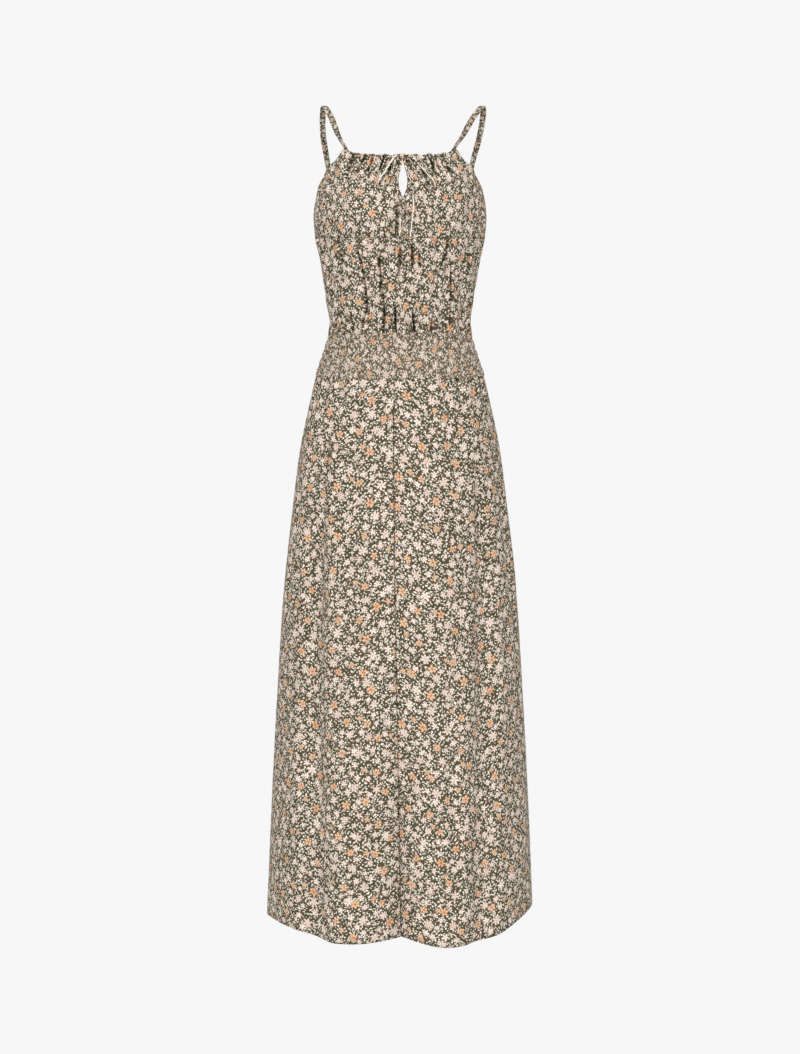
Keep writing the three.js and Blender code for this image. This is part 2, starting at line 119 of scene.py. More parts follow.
NECK_CORNER = 45.0
TOP_EDGE = (
    EdgePoint(0, -81),
    EdgePoint(20, -80),
    EdgePoint(36, -77),
    EdgePoint(NECK_CORNER, -71.5),
    EdgePoint(53, -88),
    EdgePoint(64, -103),
    EdgePoint(70, -119),
    EdgePoint(77, -138),
    EdgePoint(83, -160),
    EdgePoint(SIDE, -182),
)
BACK_EDGE_DROP = 12.0
BODICE_SEAM = 2.0
SKIRT_SEAM_TOP = -4.2
SKIRT_SEAM_HEM = 0.6
HEM_RISE = (
    EdgePoint(-BACK, 0),
    EdgePoint(-SIDE, 6),
    EdgePoint(-57, 12),
    EdgePoint(-30, 1.5),
    EdgePoint(SKIRT_SEAM_HEM, 7),
    EdgePoint(20, -3),
    EdgePoint(38, -1),
    EdgePoint(60, 17),
    EdgePoint(76, 23),
    EdgePoint(SIDE, 22),
    EdgePoint(BACK, 0),
)


def ease(start: float | Array, end: float | Array, value: Array) -> Array:
    """Goes smoothly from 0 at start to 1 at end: three squares less two cubes of the share between them."""
    share = np.clip((value - start) / (end - start), 0.0, 1.0)
    return share * share * (3.0 - 2.0 * share)


def blend(first: float | Array, last: float | Array, share: Array) -> Array:
    """Goes in a straight line from first at share 0 to last at share 1."""
    return first + (last - first) * share


def trough(away: Array, width: float) -> Array:
    """A soft trough: half a cosine, 1 on its line and 0 from its half width on."""
    return np.where(np.abs(away) < width, 0.5 + 0.5 * np.cos(np.pi * away / width), 0.0)


def crease(away: Array, width: float) -> Array:
    """A trough with a sharp bottom: the share of the half width that is left, to the power 1.6."""
    return np.clip(1.0 - np.abs(away) / width, 0.0, 1.0) ** 1.6


def cleft(away: Array, width: float) -> Array:
    """A narrow deep fold: 1 over the middle third of its width, with steep soft walls."""
    return ease(width, 0.3 * width, np.abs(away))


def signed(angle: Array) -> Array:
    """The angle from the centre front, from -180 to 180, so that the right half is negative."""
    return (angle + BACK) % TURN - BACK


def read_column(rows: Sequence[NamedTuple], key: str, name: str, at: Array) -> Array:
    """Reads a table's column between its rows, on a smooth curve that doesn't overshoot them.

    The curve is a cubic between two rows. Its slope at a row is the harmonic mean of the slopes on both
    sides, or level where they differ in sign.

    Args:
        rows: The table's rows.
        key: The column that places the rows.
        name: The column to read.
        at: The keys to read it at.

    Returns:
        The column's values there.
    """
    order = sorted(rows, key=lambda row: getattr(row, key))
    keys = np.array([getattr(row, key) for row in order], dtype=float)
    values = np.array([getattr(row, name) for row in order], dtype=float)
    spans = np.diff(keys)
    slopes = np.diff(values) / spans
    before, after = slopes[:-1], slopes[1:]
    same = before * after > 0
    inner = np.where(same, 2 * before * after / np.where(same, before + after, 1.0), 0.0)
    tangents = np.concatenate([slopes[:1], inner, slopes[-1:]])
    place = np.clip(at, keys[0], keys[-1])
    row = np.clip(np.searchsorted(keys, place, side="right") - 1, 0, len(spans) - 1)
    t = (place - keys[row]) / spans[row]
    leave = (t**3 - 2 * t * t + t) * spans[row] * tangents[row]
    arrive = (t**3 - t * t) * spans[row] * tangents[row + 1]
    return blend(values[row], values[row + 1], t * t * (3 - 2 * t)) + leave + arrive


def ring(angle: Array, z: Array) -> tuple[Array, Array]:
    """A point of the plain ring at a height: an ellipse whose front and back halves differ.

    Args:
        angle: Angles on the ring.
        z: Heights.

    Returns:
        The points' x and y.
    """
    turn = np.radians(angle)
    cosine = np.cos(turn)
    front = read_column(SECTIONS, "z", "front_y", z)
    back = read_column(SECTIONS, "z", "back_y", z)
    side = read_column(SECTIONS, "z", "side_y", z)
    y = blend(side, np.where(cosine > 0, front, back), np.abs(cosine))
    return read_column(SECTIONS, "z", "half_width", z) * np.sin(turn), y


def outward(angle: Array, z: Array) -> tuple[Array, Array]:
    """The ring's outward direction: a quarter turn from the chord across a small step of angle.

    Args:
        angle: Angles on the ring.
        z: Heights.

    Returns:
        The directions' x and y.
    """
    step = 0.05
    x0, y0 = ring(angle - step, z)
    x1, y1 = ring(angle + step, z)
    size = np.hypot(x1 - x0, y1 - y0)
    return (y1 - y0) / size, -(x1 - x0) / size


def top_edge(angle: Array) -> Array:
    """The height of the front's top edge: neckline, strap corner and armhole."""
    return read_column(TOP_EDGE, "angle", "z", np.abs(signed(angle)))


def back_edge(angle: Array) -> Array:
    """The height of the back's top edge, which dips from the side seams to the centre back."""
    toward_back = np.cos(np.radians(angle - BACK))
    return TOP_EDGE[-1].z - BACK_EDGE_DROP * ease(0.0, 1.0, toward_back)


def hem_edge(angle: Array) -> Array:
    """The height of the hem, drawn up where the skirt folds."""
    return HEM_Z + read_column(HEM_RISE, "angle", "z", signed(angle))


def from_sides(angle: Array, reach: float) -> Array:
    """0 at the side seams, easing to 1 at a reach in degrees from them."""
    return ease(0.0, reach, np.abs(np.abs(signed(angle)) - SIDE))


def hanging_edge(seam_z: float, drop: float, angle: Array) -> Array:
    """The uneven height of a gathered lower edge, which hangs over the seam below it except at the sides."""
    sway = np.sin(0.62 * angle + 1.5 * np.sin(0.23 * angle))
    return seam_z - drop * (0.58 + 0.42 * sway) * from_sides(angle, 14.0)


def level(value: float) -> Line:
    """A seam or edge that is the same all along."""
    return lambda along: np.full_like(along, value)


def moved(edge: Line, rise: float) -> Line:
    """A line beside an edge, higher or lower by a rise."""
    return lambda angle: edge(angle) + rise


def skirt_down(z: Array) -> Array:
    """The share of the skirt's height above a point."""
    return np.clip((WAIST_BOTTOM_Z - z) / (WAIST_BOTTOM_Z - HEM_Z), 0.0, 1.0)


def skirt_seam(z: Array) -> Array:
    """The angle of the skirt's centre seam, which swings across as the skirt falls."""
    return blend(SKIRT_SEAM_TOP, SKIRT_SEAM_HEM, skirt_down(z))


@dataclass(frozen=True)
class Gathers:
    """Waves of a gathered seam.

    Attributes:
        waves: Waves in a half turn.
        depth: Their depth at the seam.
        run: How far they run from it.
    """

    waves: float
    depth: float
    run: float

    def lift(self, angle: Array) -> Array:
        """A cosine round the ring, its phase swaying and its depth swelling and shrinking along it."""
        turn = np.radians(angle)
        swell = 0.75 + 0.25 * np.sin(3.3 * turn + 0.6)
        return self.depth * swell * np.cos(2 * self.waves * turn + 0.7 * np.sin(2.1 * turn))

    def fade(self, away: Array) -> Array:
        """How much of the waves is left at a distance from the seam."""
        return ease(self.run, 0.0, away)


@dataclass(frozen=True)
class Puckers:
    """Uneven furrows along a gathered edge, each with a place, width, depth, length and slant of its own.

    Attributes:
        count: How many there are.
        first: The angle where they begin.
        last: The angle where they end.
        depth: The depth of the deepest.
        width: Their usual half width in degrees.
        run: Their usual length.
        seed: Fixes their unevenness.
        slant: Their usual slant, in degrees of angle per millimetre.
    """

    count: int
    first: float
    last: float
    depth: float
    width: float
    run: float
    seed: int
    slant: float = 0.02

    def lift(self, angle: Array, away: Array) -> Array:
        """Each furrow is a bell across its line, with low ridges beside it, and fades along it.

        Args:
            angle: Angles on the ring.
            away: Distances from the gathered edge.

        Returns:
            The furrows' lift, mostly below zero.
        """
        chance = np.random.default_rng(self.seed)
        step = (self.last - self.first) / self.count
        places = self.first + step * (np.arange(self.count) + 0.5 + chance.uniform(-0.4, 0.4, self.count))
        widths = self.width * chance.uniform(0.6, 1.5, self.count)
        depths = self.depth * chance.uniform(0.3, 1.0, self.count)
        runs = self.run * chance.uniform(0.35, 1.4, self.count)
        slants = self.slant * chance.normal(0.0, 1.0, self.count)
        lift = np.zeros_like(angle)
        for place, width, depth, run, slant in zip(places, widths, depths, runs, slants):
            across = (angle - place - slant * away) / width
            furrow = np.exp(-across * across) - 0.2 * np.exp(-((np.abs(across) - 1.9) ** 2))
            lift -= depth * furrow * ease(run, 0.0, away)
        return lift


@dataclass(frozen=True)
class TurnedEdge:
    """An edge that is turned over and stitched down.

    Attributes:
        width: How far it is turned.
        roll: How far the turned cloth stands off.
        stitched: The stitch line's distance from the edge.
        groove: The depth of the groove along the stitches.
        spread: The groove's half width.
    """

    width: float
    roll: float
    stitched: float
    groove: float
    spread: float

    def lift(self, away: Array) -> Array:
        """The roll is half a sine wave across the turned cloth, and the groove is a bell."""
        roll = self.roll * np.sin(np.pi * np.clip(away / self.width, 0.0, 1.0))
        return roll - self.groove * np.exp(-(((away - self.stitched) / self.spread) ** 2))


CASING = TurnedEdge(width=10.0, roll=0.9, stitched=10.0, groove=1.0, spread=1.6)
ARMHOLE_BINDING = TurnedEdge(width=6.0, roll=0.7, stitched=6.4, groove=0.5, spread=1.2)
BACK_HEM = TurnedEdge(width=9.0, roll=0.8, stitched=9.5, groove=0.6, spread=1.5)
SKIRT_HEM = TurnedEdge(width=12.0, roll=0.0, stitched=12.0, groove=0.7, spread=2.0)


class Ends(Enum):
    """Which ends of a crease are caught in a seam, and so keep their depth."""

    FREE = (0.0, 0.0)
    TOP = (1.0, 0.0)
    BOTTOM = (0.0, 1.0)


class Crease(NamedTuple):
    """A crease: angle and height of its top and foot, half width in degrees, depth and ends."""

    top_angle: float
    top_z: float
    foot_angle: float
    foot_z: float
    width: float
    depth: float
    ends: Ends = Ends.FREE


def creases_lift(creases: Sequence[Crease], angle: Array, z: Array) -> Array:
    """Narrow folds along straight lines, with a low soft ridge on each side, fading at their free ends.

    Args:
        creases: The creases.
        angle: Angles on the ring.
        z: Heights.

    Returns:
        Their lift, mostly below zero.
    """
    lift = np.zeros_like(angle)
    for line in creases:
        down = (line.top_z - z) / (line.top_z - line.foot_z)
        top, foot = line.ends.value
        inside = np.maximum(ease(0.0, 0.3, down), top * (down > -0.01))
        inside = inside * np.maximum(ease(1.0, 0.7, down), foot * (down < 1.01))
        away = angle - blend(line.top_angle, line.foot_angle, down)
        ridge = trough(np.abs(away) - 1.7 * line.width, 1.2 * line.width)
        lift -= line.depth * inside * (cleft(away, line.width) - 0.12 * ridge)
    return lift


def unevenness(angle: Array, z: Array, depth: float, across: float, along: float, seed: int) -> Array:
    """Slow unevenness of hanging cloth: the mean of slanting sine waves of random slope and phase.

    Args:
        angle: Angles on the ring.
        z: Heights.
        depth: The waves' depth.
        across: Usual length of a wave round the ring, in degrees.
        along: Usual length of a wave in height.
        seed: Fixes the waves.

    Returns:
        The lift.
    """
    chance = np.random.default_rng(seed)
    lift = np.zeros_like(angle)
    count = 7
    for _ in range(count):
        turn = TURN / across * chance.uniform(0.5, 1.6)
        fall = chance.normal(0.0, 1.0) / along
        lift += np.sin(np.radians(angle) * turn + 2 * np.pi * (z * fall + chance.uniform()))
    return depth * lift / math.sqrt(count)


class Slot(Enum):
    """The record's material slots."""

    CLOTH = "printed_cloth"
    TIE = "tie_cloth"


class Held(Enum):
    """How a sheet of cloth is held."""

    GATHERED = "gathered"
    HUNG = "hung"


def grid_faces(rows: int, columns: int, wrap: bool = False) -> Quads:
    """The quads of a grid of points that are stored row by row, facing out of a ring that turns to the left.

    Args:
        rows: Rows of points.
        columns: Points in a row.
        wrap: Whether a row closes on itself.

    Returns:
        Four point numbers for each quad.
    """
    here = np.arange(columns if wrap else columns - 1)
    after = (here + 1) % columns
    base = (np.arange(rows - 1) * columns)[:, None]
    quads = [base + here, base + after, base + columns + after, base + columns + here]
    return np.stack(quads, axis=-1).reshape(-1, 4).astype(np.int32)


def capped_faces(rows: int, columns: int) -> Quads:
    """The faces of a closed tube: its rings, and triangles from its first and last ring to a pole each.

    Args:
        rows: Rings of points.
        columns: Points in a ring.

    Returns:
        Four point numbers for each face. The poles follow the rings, and a triangle repeats its last number.
    """
    here = np.arange(columns)
    after = (here + 1) % columns
    last, pole = (rows - 1) * columns, np.full_like(here, rows * columns)
    near = np.stack([after, here, pole, pole], axis=-1)
    far = np.stack([last + here, last + after, pole + 1, pole + 1], axis=-1)
    return np.concatenate([grid_faces(rows, columns, wrap=True), near, far]).astype(np.int32)


def make_mesh(
    name: str, points: Array, quads: Quads, uv: Array | None, finishes: Sequence[Material]
) -> bpy.types.Object:
    """Makes a smooth mesh object at the origin from points in millimetres.

    Args:
        name: The piece's name.
        points: Its points, three numbers each.
        quads: Its faces, as four point numbers each. A triangle repeats its last number.
        uv: The place of each point on the flat cloth, in millimetres, or of each face's corner.
        finishes: Its materials.

    Returns:
        The object, riding on the dress.
    """
    triangle = quads[:, 2] == quads[:, 3]
    sizes = np.where(triangle, 3, 4).astype(np.int32)
    keep = np.ones(quads.shape, dtype=bool)
    keep[:, 3] = ~triangle
    corners = quads[keep]
    mesh = bpy.data.meshes.new(name)
    mesh.vertices.add(len(points))
    mesh.vertices.foreach_set("co", (points * MM).astype(np.float32).ravel())
    mesh.loops.add(len(corners))
    mesh.loops.foreach_set("vertex_index", corners)
    mesh.polygons.add(len(quads))
    starts = np.concatenate([[0], np.cumsum(sizes)[:-1]]).astype(np.int32)
    mesh.polygons.foreach_set("loop_start", starts)
    mesh.polygons.foreach_set("use_smooth", np.ones(len(quads), dtype=bool))
    if uv is not None:
        layer = mesh.uv_layers.new(name="cloth")
        spread = uv[corners] if len(uv) == len(points) else uv[keep]
        layer.data.foreach_set("uv", (spread * MM).astype(np.float32).ravel())
    mesh.update(calc_edges=True)
    for finish in finishes:
        mesh.materials.append(finish)
    piece = bpy.data.objects.new(name, mesh)
    bpy.context.scene.collection.objects.link(piece)
    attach(piece, "root")
    LOG.info("%s: %d points, %d faces", name, len(points), len(quads))
    return piece


def steps_along(points: Array, axis: int) -> Array:
    """The distance run along one axis of a grid of points, from its first row or column."""
    gaps = np.linalg.norm(np.diff(points, axis=axis), axis=-1)
    start = np.zeros_like(np.take(gaps, [0], axis=axis))
    return np.concatenate([start, np.cumsum(gaps, axis=axis)], axis=axis)


@dataclass
class Panel:
    """A cut piece of cloth between two seams and two edges, laid on the rings with a lift.

    Attributes:
        name: The piece's name, which is also its node's.
        first: The angle of its first seam at each height.
        last: The angle of its last seam at each height.
        bottom: The height of its lower edge at each angle.
        top: The height of its upper edge at each angle.
        lift: How far it stands off its ring.
        columns: Points across it.
        rows: Points up it.
        flat: Width and length of the cloth that shows, in millimetres.
        share: The cut's share of that rectangle.
        held: How it is held. Not used.
        rests_on: The nodes that it is sewn to. Not used.
        sideways: How far it is pushed along X.
        crowding: Above 1 the rows are closer together at the top, below 1 at the foot.
        fullness: Width of the cut cloth for each width that shows.
        print_start: Where the print starts, across and up.
        follows_folds: Whether the print follows the cloth into its folds.
    """

    name: str
    first: Line
    last: Line
    bottom: Line
    top: Line
    lift: Field
    columns: int
    rows: int
    flat: tuple[float, float]
    held: Held
    rests_on: Sequence[str]
    share: float = 1.0
    sideways: Field | None = None
    crowding: float = 1.0
    fullness: float = 1.0
    print_start: tuple[float, float] = (0.0, 0.0)
    follows_folds: bool = False

    def surface(self, angle: Array, z: Array) -> Array:
        """The cloth's outer points: the ring moved out by the lift, and sideways where it is pushed."""
        x, y = ring(angle, z)
        out_x, out_y = outward(angle, z)
        lift = self.lift(angle, z)
        push = self.sideways(angle, z) if self.sideways else 0.0
        return np.stack([x + out_x * lift + push, y + out_y * lift, z + 0.0 * x], axis=-1)

    def normals(self, angle: Array, z: Array) -> Array:
        """The cloth's outward directions: the cross of a small step round the ring and one up it."""
        step = 0.15
        across = self.surface(angle + step, z) - self.surface(angle - step, z)
        up = self.surface(angle, z + step) - self.surface(angle, z - step)
        normal = np.cross(across, up)
        return normal / np.linalg.norm(normal, axis=-1, keepdims=True)

    def grid(self) -> tuple[Array, Array]:
        """The angle and height of each point of the panel's grid, half a seam's gap inside its edges.

        Returns:
            Angles and heights, row by row from the foot.
        """
        u = np.linspace(0.0, 1.0, self.columns)[None, :]
        v = np.linspace(0.0, 1.0, self.rows)[:, None]
        climb = 1.0 - (1.0 - v) ** self.crowding
        foot = np.array([HEM_Z])
        across = blend(self.first(foot), self.last(foot), u)
        z = blend(self.bottom(across) + SEAM_GAP / 2, self.top(across) - SEAM_GAP / 2, climb)
        first, last = self.first(z), self.last(z)
        trim = SEAM_GAP / 2 / self.degree(0.5 * (first + last), z)
        return blend(first + trim, last - trim, u), z

    @staticmethod
    def degree(angle: Array, z: Array) -> Array:
        """The length of a degree of the ring."""
        x0, y0 = ring(angle - 0.5, z)
        x1, y1 = ring(angle + 0.5, z)
        return np.hypot(x1 - x0, y1 - y0)

    def cloth_places(self, points: Array, plain: Array) -> Array:
        """Each point's place on the flat cloth: the run across from the middle, and the run up from the foot.

        Small furrows take up cloth that doesn't show, so the run across is that of the plain ring, or, where
        the print follows wide folds, the cloth's own run with each half row scaled to its plain ring.

        Args:
            points: The panel's points.
            plain: The same points on their plain rings.

        Returns:
            The places, point by point.
        """
        middle = self.columns // 2
        run, ring_run = (part - part[:, [middle]] for part in (steps_along(points, 1), steps_along(plain, 1)))
        if self.follows_folds:
            now, then = (np.where(run < 0, part[:, [0]], part[:, [-1]]) for part in (run, ring_run))
            ring_run = run * then / now
        across = ring_run * self.fullness + self.print_start[0]
        climb = steps_along(plain, 0) + self.print_start[1]
        return np.stack([across, climb], axis=-1).reshape(-1, 2)

    def build(self, finishes: Sequence[Material]) -> bpy.types.Object:
        """Makes the panel, with a thickness, in place of its node.

        Args:
            finishes: The cloth's face and its reverse.

        Returns:
            The panel's object.
        """
        angle, z = self.grid()
        points = self.surface(angle, z)
        plain = np.stack([*ring(angle, z), z], axis=-1)
        uv = self.cloth_places(points, plain)
        quads = grid_faces(self.rows, self.columns)
        piece = make_mesh(self.name + "_cloth", points.reshape(-1, 3), quads, uv, finishes)
        wall = piece.modifiers.new("wall", "SOLIDIFY")
        wall.thickness = CLOTH_THICKNESS * MM
        wall.offset = -1.0
        wall.material_offset = 1
        wall.material_offset_rim = 0
        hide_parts(self.name)
        width, length = (side * MM for side in self.flat)
        area = self.share * width * length
        return piece


def linear(red: float, green: float, blue: float) -> Colour:
    """A colour from its usual screen values of 0 to 255, as light."""
    screen = np.array([red, green, blue]) / 255.0
    light = np.where(screen <= 0.04045, screen / 12.92, ((screen + 0.055) / 1.055) ** 2.4)
    return (*(float(part) for part in light), 1.0)


@dataclass(frozen=True)
class Wire:
    """A value that the shader works out at each place, so that formulas read as plain sums."""

    graph: "Graph"
    socket: Socket

    def __add__(self, other: "Value") -> "Wire":
        """This and another."""
        return self.graph.math("ADD", self, other)

    def __sub__(self, other: "Value") -> "Wire":
        """This less another."""
        return self.graph.math("SUBTRACT", self, other)

    def __rsub__(self, other: "Value") -> "Wire":
        """Another less this."""
        return self.graph.math("SUBTRACT", other, self)

    def __mul__(self, other: "Value") -> "Wire":
        """This times another."""
        return self.graph.math("MULTIPLY", self, other)

    def __truediv__(self, other: "Value") -> "Wire":
        """This over another."""
        return self.graph.math("DIVIDE", self, other)

    def __pow__(self, power: "Value") -> "Wire":
        """This to a power."""
        return self.graph.math("POWER", self, power)

    def __lt__(self, other: "Value") -> "Wire":
        """1 where this is under another, and 0 elsewhere."""
        return self.graph.math("LESS_THAN", self, other)

    def __abs__(self) -> "Wire":
        """This without its sign."""
        return self.graph.math("ABSOLUTE", self)


Value = Wire | float | Sequence[float]


@dataclass(frozen=True)
class Graph:
    """Adds shader nodes to a tree and links them, one short call a step."""

    tree: bpy.types.NodeTree

    def add(self, kind: str, **settings: object) -> Node:
        """Adds a node and sets its properties."""
        node = self.tree.nodes.new(kind)
        for name, value in settings.items():
            setattr(node, name, value)
        return node

    def out(self, node: Node, label: str | int = 0) -> Wire:
        """One output of a node."""
        return Wire(self, node.outputs[label])

    def outs(self, node: Node) -> dict[str, Wire]:
        """A node's outputs by name, in order."""
        return {socket.name: Wire(self, socket) for socket in node.outputs}

    def feed(self, socket: Socket, value: Value) -> None:
        """Links an input to another node's output, or sets it to a plain value."""
        if isinstance(value, Wire):
            self.tree.links.new(value.socket, socket)
        else:
            socket.default_value = value

    def fill(self, node: Node, values: dict[str, Value]) -> Node:
        """Feeds a node's inputs by name."""
        for label, value in values.items():
            self.feed(node.inputs[label], value)
        return node

    def feed_all(self, node: Node, values: Sequence[Value]) -> Node:
        """Feeds a node's inputs in order."""
        for socket, value in zip(node.inputs, values):
            self.feed(socket, value)
        return node

    def math(self, operation: str, *values: Value) -> Wire:
        """One sum of numbers."""
        return self.out(self.feed_all(self.add("ShaderNodeMath", operation=operation), values))

    def vector(self, operation: str, *values: Value) -> Wire:
        """One sum of vectors that gives a vector."""
        node = self.add("ShaderNodeVectorMath", operation=operation)
        return self.out(self.feed_all(node, values), "Vector")

    def measure(self, operation: str, *values: Value) -> Wire:
        """One sum of vectors that gives a number."""
        node = self.add("ShaderNodeVectorMath", operation=operation)
        return self.out(self.feed_all(node, values), "Value")

    def scaled(self, vector: Value, factor: Value) -> Wire:
        """A vector made longer or shorter."""
        node = self.feed_all(self.add("ShaderNodeVectorMath", operation="SCALE"), [vector])
        return self.out(self.fill(node, {"Scale": factor}), "Vector")

    def turned(self, vector: Value, angle: Value) -> Wire:
        """A vector turned on the flat cloth."""
        node = self.add("ShaderNodeVectorRotate", rotation_type="Z_AXIS")
        return self.out(self.fill(node, {"Vector": vector, "Angle": angle}))

    def parts(self, vector: Value) -> list[Wire]:
        """A vector's x, y and z."""
        return list(self.outs(self.feed_all(self.add("ShaderNodeSeparateXYZ"), [vector])).values())

    def mixed(self, share: Value, under: Value, over: Value) -> Wire:
        """A colour over another, as far as the share says: the mix node's inputs 0, 6 and 7."""
        node = self.add("ShaderNodeMix", data_type="RGBA")
        for number, value in ((0, share), (6, under), (7, over)):
            self.feed(node.inputs[number], value)
        return self.out(node, 2)

    def soft_step(self, inside: Value, softness: float) -> Wire:
        """1 where a length is above zero and 0 below it, with a soft edge."""
        node = self.add("ShaderNodeMath", operation="MULTIPLY_ADD", use_clamp=True)
        return self.out(self.feed_all(node, [inside, 1.0 / softness, 0.5]))

    def noise(
        self, place: Value, scale: float, detail: float = 2.0, roughness: float = 0.5
    ) -> dict[str, Wire]:
        """Soft random patches on the flat cloth, as Fac and Color."""
        node = self.add("ShaderNodeTexNoise", noise_dimensions="2D")
        values = {"Vector": place, "Scale": scale, "Detail": detail, "Roughness": roughness}
        return self.outs(self.fill(node, values))

    def group(self, name: str, *values: Value) -> dict[str, Wire]:
        """Adds a node group, feeds its inputs in order and gives its outputs."""
        node = self.add("ShaderNodeGroup", node_tree=bpy.data.node_groups[name])
        return self.outs(self.feed_all(node, values))


def new_finish(name: str) -> tuple[Material, Graph, Node]:
    """Starts a material: gives it, its graph and its shader."""
    finish = bpy.data.materials.new(name)
    finish.use_nodes = True
    return finish, Graph(finish.node_tree), finish.node_tree.nodes["Principled BSDF"]


def scatter_group(
    name: str, inputs: Sequence[str], outputs: Sequence[str]
) -> tuple[Graph, dict[str, Wire], Node]:
    """Starts a node group that reads a place on the flat cloth and some numbers.

    Args:
        name: The group's name.
        inputs: Its numbers.
        outputs: What it gives.

    Returns:
        The graph to fill, what it reads and its output node.
    """
    tree = bpy.data.node_groups.new(name, "ShaderNodeTree")
    tree.interface.new_socket("Place", in_out="INPUT", socket_type="NodeSocketVector")
    for label in inputs:
        tree.interface.new_socket(label, in_out="INPUT", socket_type="NodeSocketFloat")
    for label in outputs:
        tree.interface.new_socket(label, in_out="OUTPUT", socket_type="NodeSocketFloat")
    graph = Graph(tree)
    return graph, graph.outs(graph.add("NodeGroupInput")), graph.add("NodeGroupOutput")


@dataclass(frozen=True)
class Scatter:
    """One motif in each cell of the cloth.

    Attributes:
        offset: The offset from the nearest motif's centre.
        centre: That centre, in cells.
        chances: Three random numbers of that motif.
    """

    offset: Wire
    centre: Wire
    chances: list[Wire]


def scattered(graph: Graph, given: dict[str, Wire]) -> Scatter:
    """Scatters one motif in each cell of the cloth.

    Args:
        graph: The group's graph.
        given: What the group reads, with Place, Cell and Jitter.

    Returns:
        The nearest motif at each place.
    """
    shrunk = graph.scaled(given["Place"], graph.math("DIVIDE", 1.0, given["Cell"]))
    cells = graph.add("ShaderNodeTexVoronoi", voronoi_dimensions="2D", feature="F1")
    graph.fill(cells, {"Vector": shrunk, "Scale": 1.0, "Randomness": given["Jitter"]})
    centre = graph.out(cells, "Position")
    near = graph.vector("SUBTRACT", shrunk, centre)
    chances = graph.feed_all(graph.add("ShaderNodeSeparateColor"), [graph.out(cells, "Color")])
    return Scatter(graph.scaled(near, given["Cell"]), centre, list(graph.outs(chances).values()))


EDGE_SOFTNESS = 0.25
TURN_STEPS = (0.7549, 0.5698, 0.0)
LEAST_BLOSSOM = 0.82
BLOSSOM_SPREAD = 0.3
PARTING_RISE = 1.8
PARTING_POWER = 4.0
LEAST_LEAF = 0.7
LEAF_SPREAD = 0.6
LEAF_FULLER_END = 0.45
BLOSSOM_RESHUFFLE = 5.17
LEAF_RESHUFFLE = 9.7
BLOSSOM_INPUTS = ("Cell", "Jitter", "Radius", "Petals", "Notch", "Round", "From", "To")
BLOSSOM_OUTPUTS = ("Petal", "Clear", "Ratio", "Chance", "Parting")


def blossom_group() -> bpy.types.NodeTree:
    """Scattered blossoms: a star whose reach swings between its notches and its petals' tips.

    The reach at a turn is the radius times notch plus the rest times a lobe. The lobe is 1 less the sine of
    half the petals' turn to the power Round. The kinds take turns along a row of cells and from row to row:
    a cell's turn is the fraction of fixed steps a column and a row, and a blossom is kept where that is
    between From and To.

    Returns:
        The node group, with outputs Petal, Clear (a little round it), Ratio (of the radius), Chance, and
        Parting, which grows towards the lines between the petals.
    """
    graph, given, gives = scatter_group("scattered_blossoms", BLOSSOM_INPUTS, BLOSSOM_OUTPUTS)
    motif = scattered(graph, given)
    first, second, third = motif.chances
    away = graph.measure("LENGTH", motif.offset)
    x, y, _ = graph.parts(motif.offset)
    turn = first * (2 * math.pi) + graph.math("ARCTAN2", y, x)
    petals = given["Petals"] + graph.math("FLOOR", second * 1.99)
    wave = abs(graph.math("SINE", turn * (petals * 0.5)))
    lobe = 1.0 - wave ** given["Round"]
    size = given["Radius"] * (third * BLOSSOM_SPREAD + LEAST_BLOSSOM)
    reach = size * ((1.0 - given["Notch"]) * lobe + given["Notch"])
    kind = graph.math("FRACT", graph.measure("DOT_PRODUCT", graph.vector("FLOOR", motif.centre), TURN_STEPS))
    kept = (kind < given["To"]) - (kind < given["From"])
    ratio = away / size
    outer = graph.math("MINIMUM", ratio * PARTING_RISE, 1.0)
    results = {
        "Petal": graph.soft_step(reach - away, EDGE_SOFTNESS) * kept,
        "Clear": graph.soft_step(reach + BLOSSOM_MARGIN - away, 2 * EDGE_SOFTNESS) * kept,
        "Ratio": ratio,
        "Chance": graph.math("FRACT", third * BLOSSOM_RESHUFFLE),
        "Parting": wave**PARTING_POWER * outer,
    }
    graph.fill(gives, results)
    return graph.tree


LEAF_INPUTS = ("Cell", "Jitter", "Length", "Width", "Share")


def leaf_group() -> bpy.types.NodeTree:
    """Scattered leaves: drops with a point at one end, each turned its own way.

    A point is inside where its distance from the leaf's midline is under the half width times one less the
    square of its share of the half length, and times a slope that makes one end fuller.

    Returns:
        The node group, with outputs Leaf and Chance.
    """
    graph, given, gives = scatter_group("scattered_leaves", LEAF_INPUTS, ("Leaf", "Chance"))
    motif = scattered(graph, given)
    first, second, third = motif.chances
    x, y, _ = graph.parts(graph.turned(motif.offset, first * (2 * math.pi)))
    size = second * LEAF_SPREAD + LEAST_LEAF
    along = x / (given["Length"] * size)
    belly = (1.0 - along * along) * (along * LEAF_FULLER_END + 1.0)
    inside = belly * (given["Width"] * size) - abs(y)
    leaf = graph.soft_step(inside, EDGE_SOFTNESS) * (third < given["Share"])
    chance = graph.math("FRACT", first * LEAF_RESHUFFLE)
    graph.fill(gives, {"Leaf": leaf, "Chance": chance})
    return graph.tree


class Blossom(NamedTuple):
    """A kind of blossom in the print, in millimetres of flat cloth.

    Attributes:
        radius: Its usual reach.
        petals: Its petals, or one more.
        notch: The reach between its petals, as a share of the radius.
        rounding: How full its petals are.
        share: Its share of the places where blossoms are scattered.
        heart: Its heart's share of the radius.
        petal: Its petals' colour.
        tint: A second colour of its petals.
        parting: The colour of the lines between its petals.
        heart_colour: Its heart's colour.
    """

    radius: float
    petals: float
    notch: float
    rounding: float
    share: float
    heart: float
    petal: Colour
    tint: Colour
    parting: Colour
    heart_colour: Colour


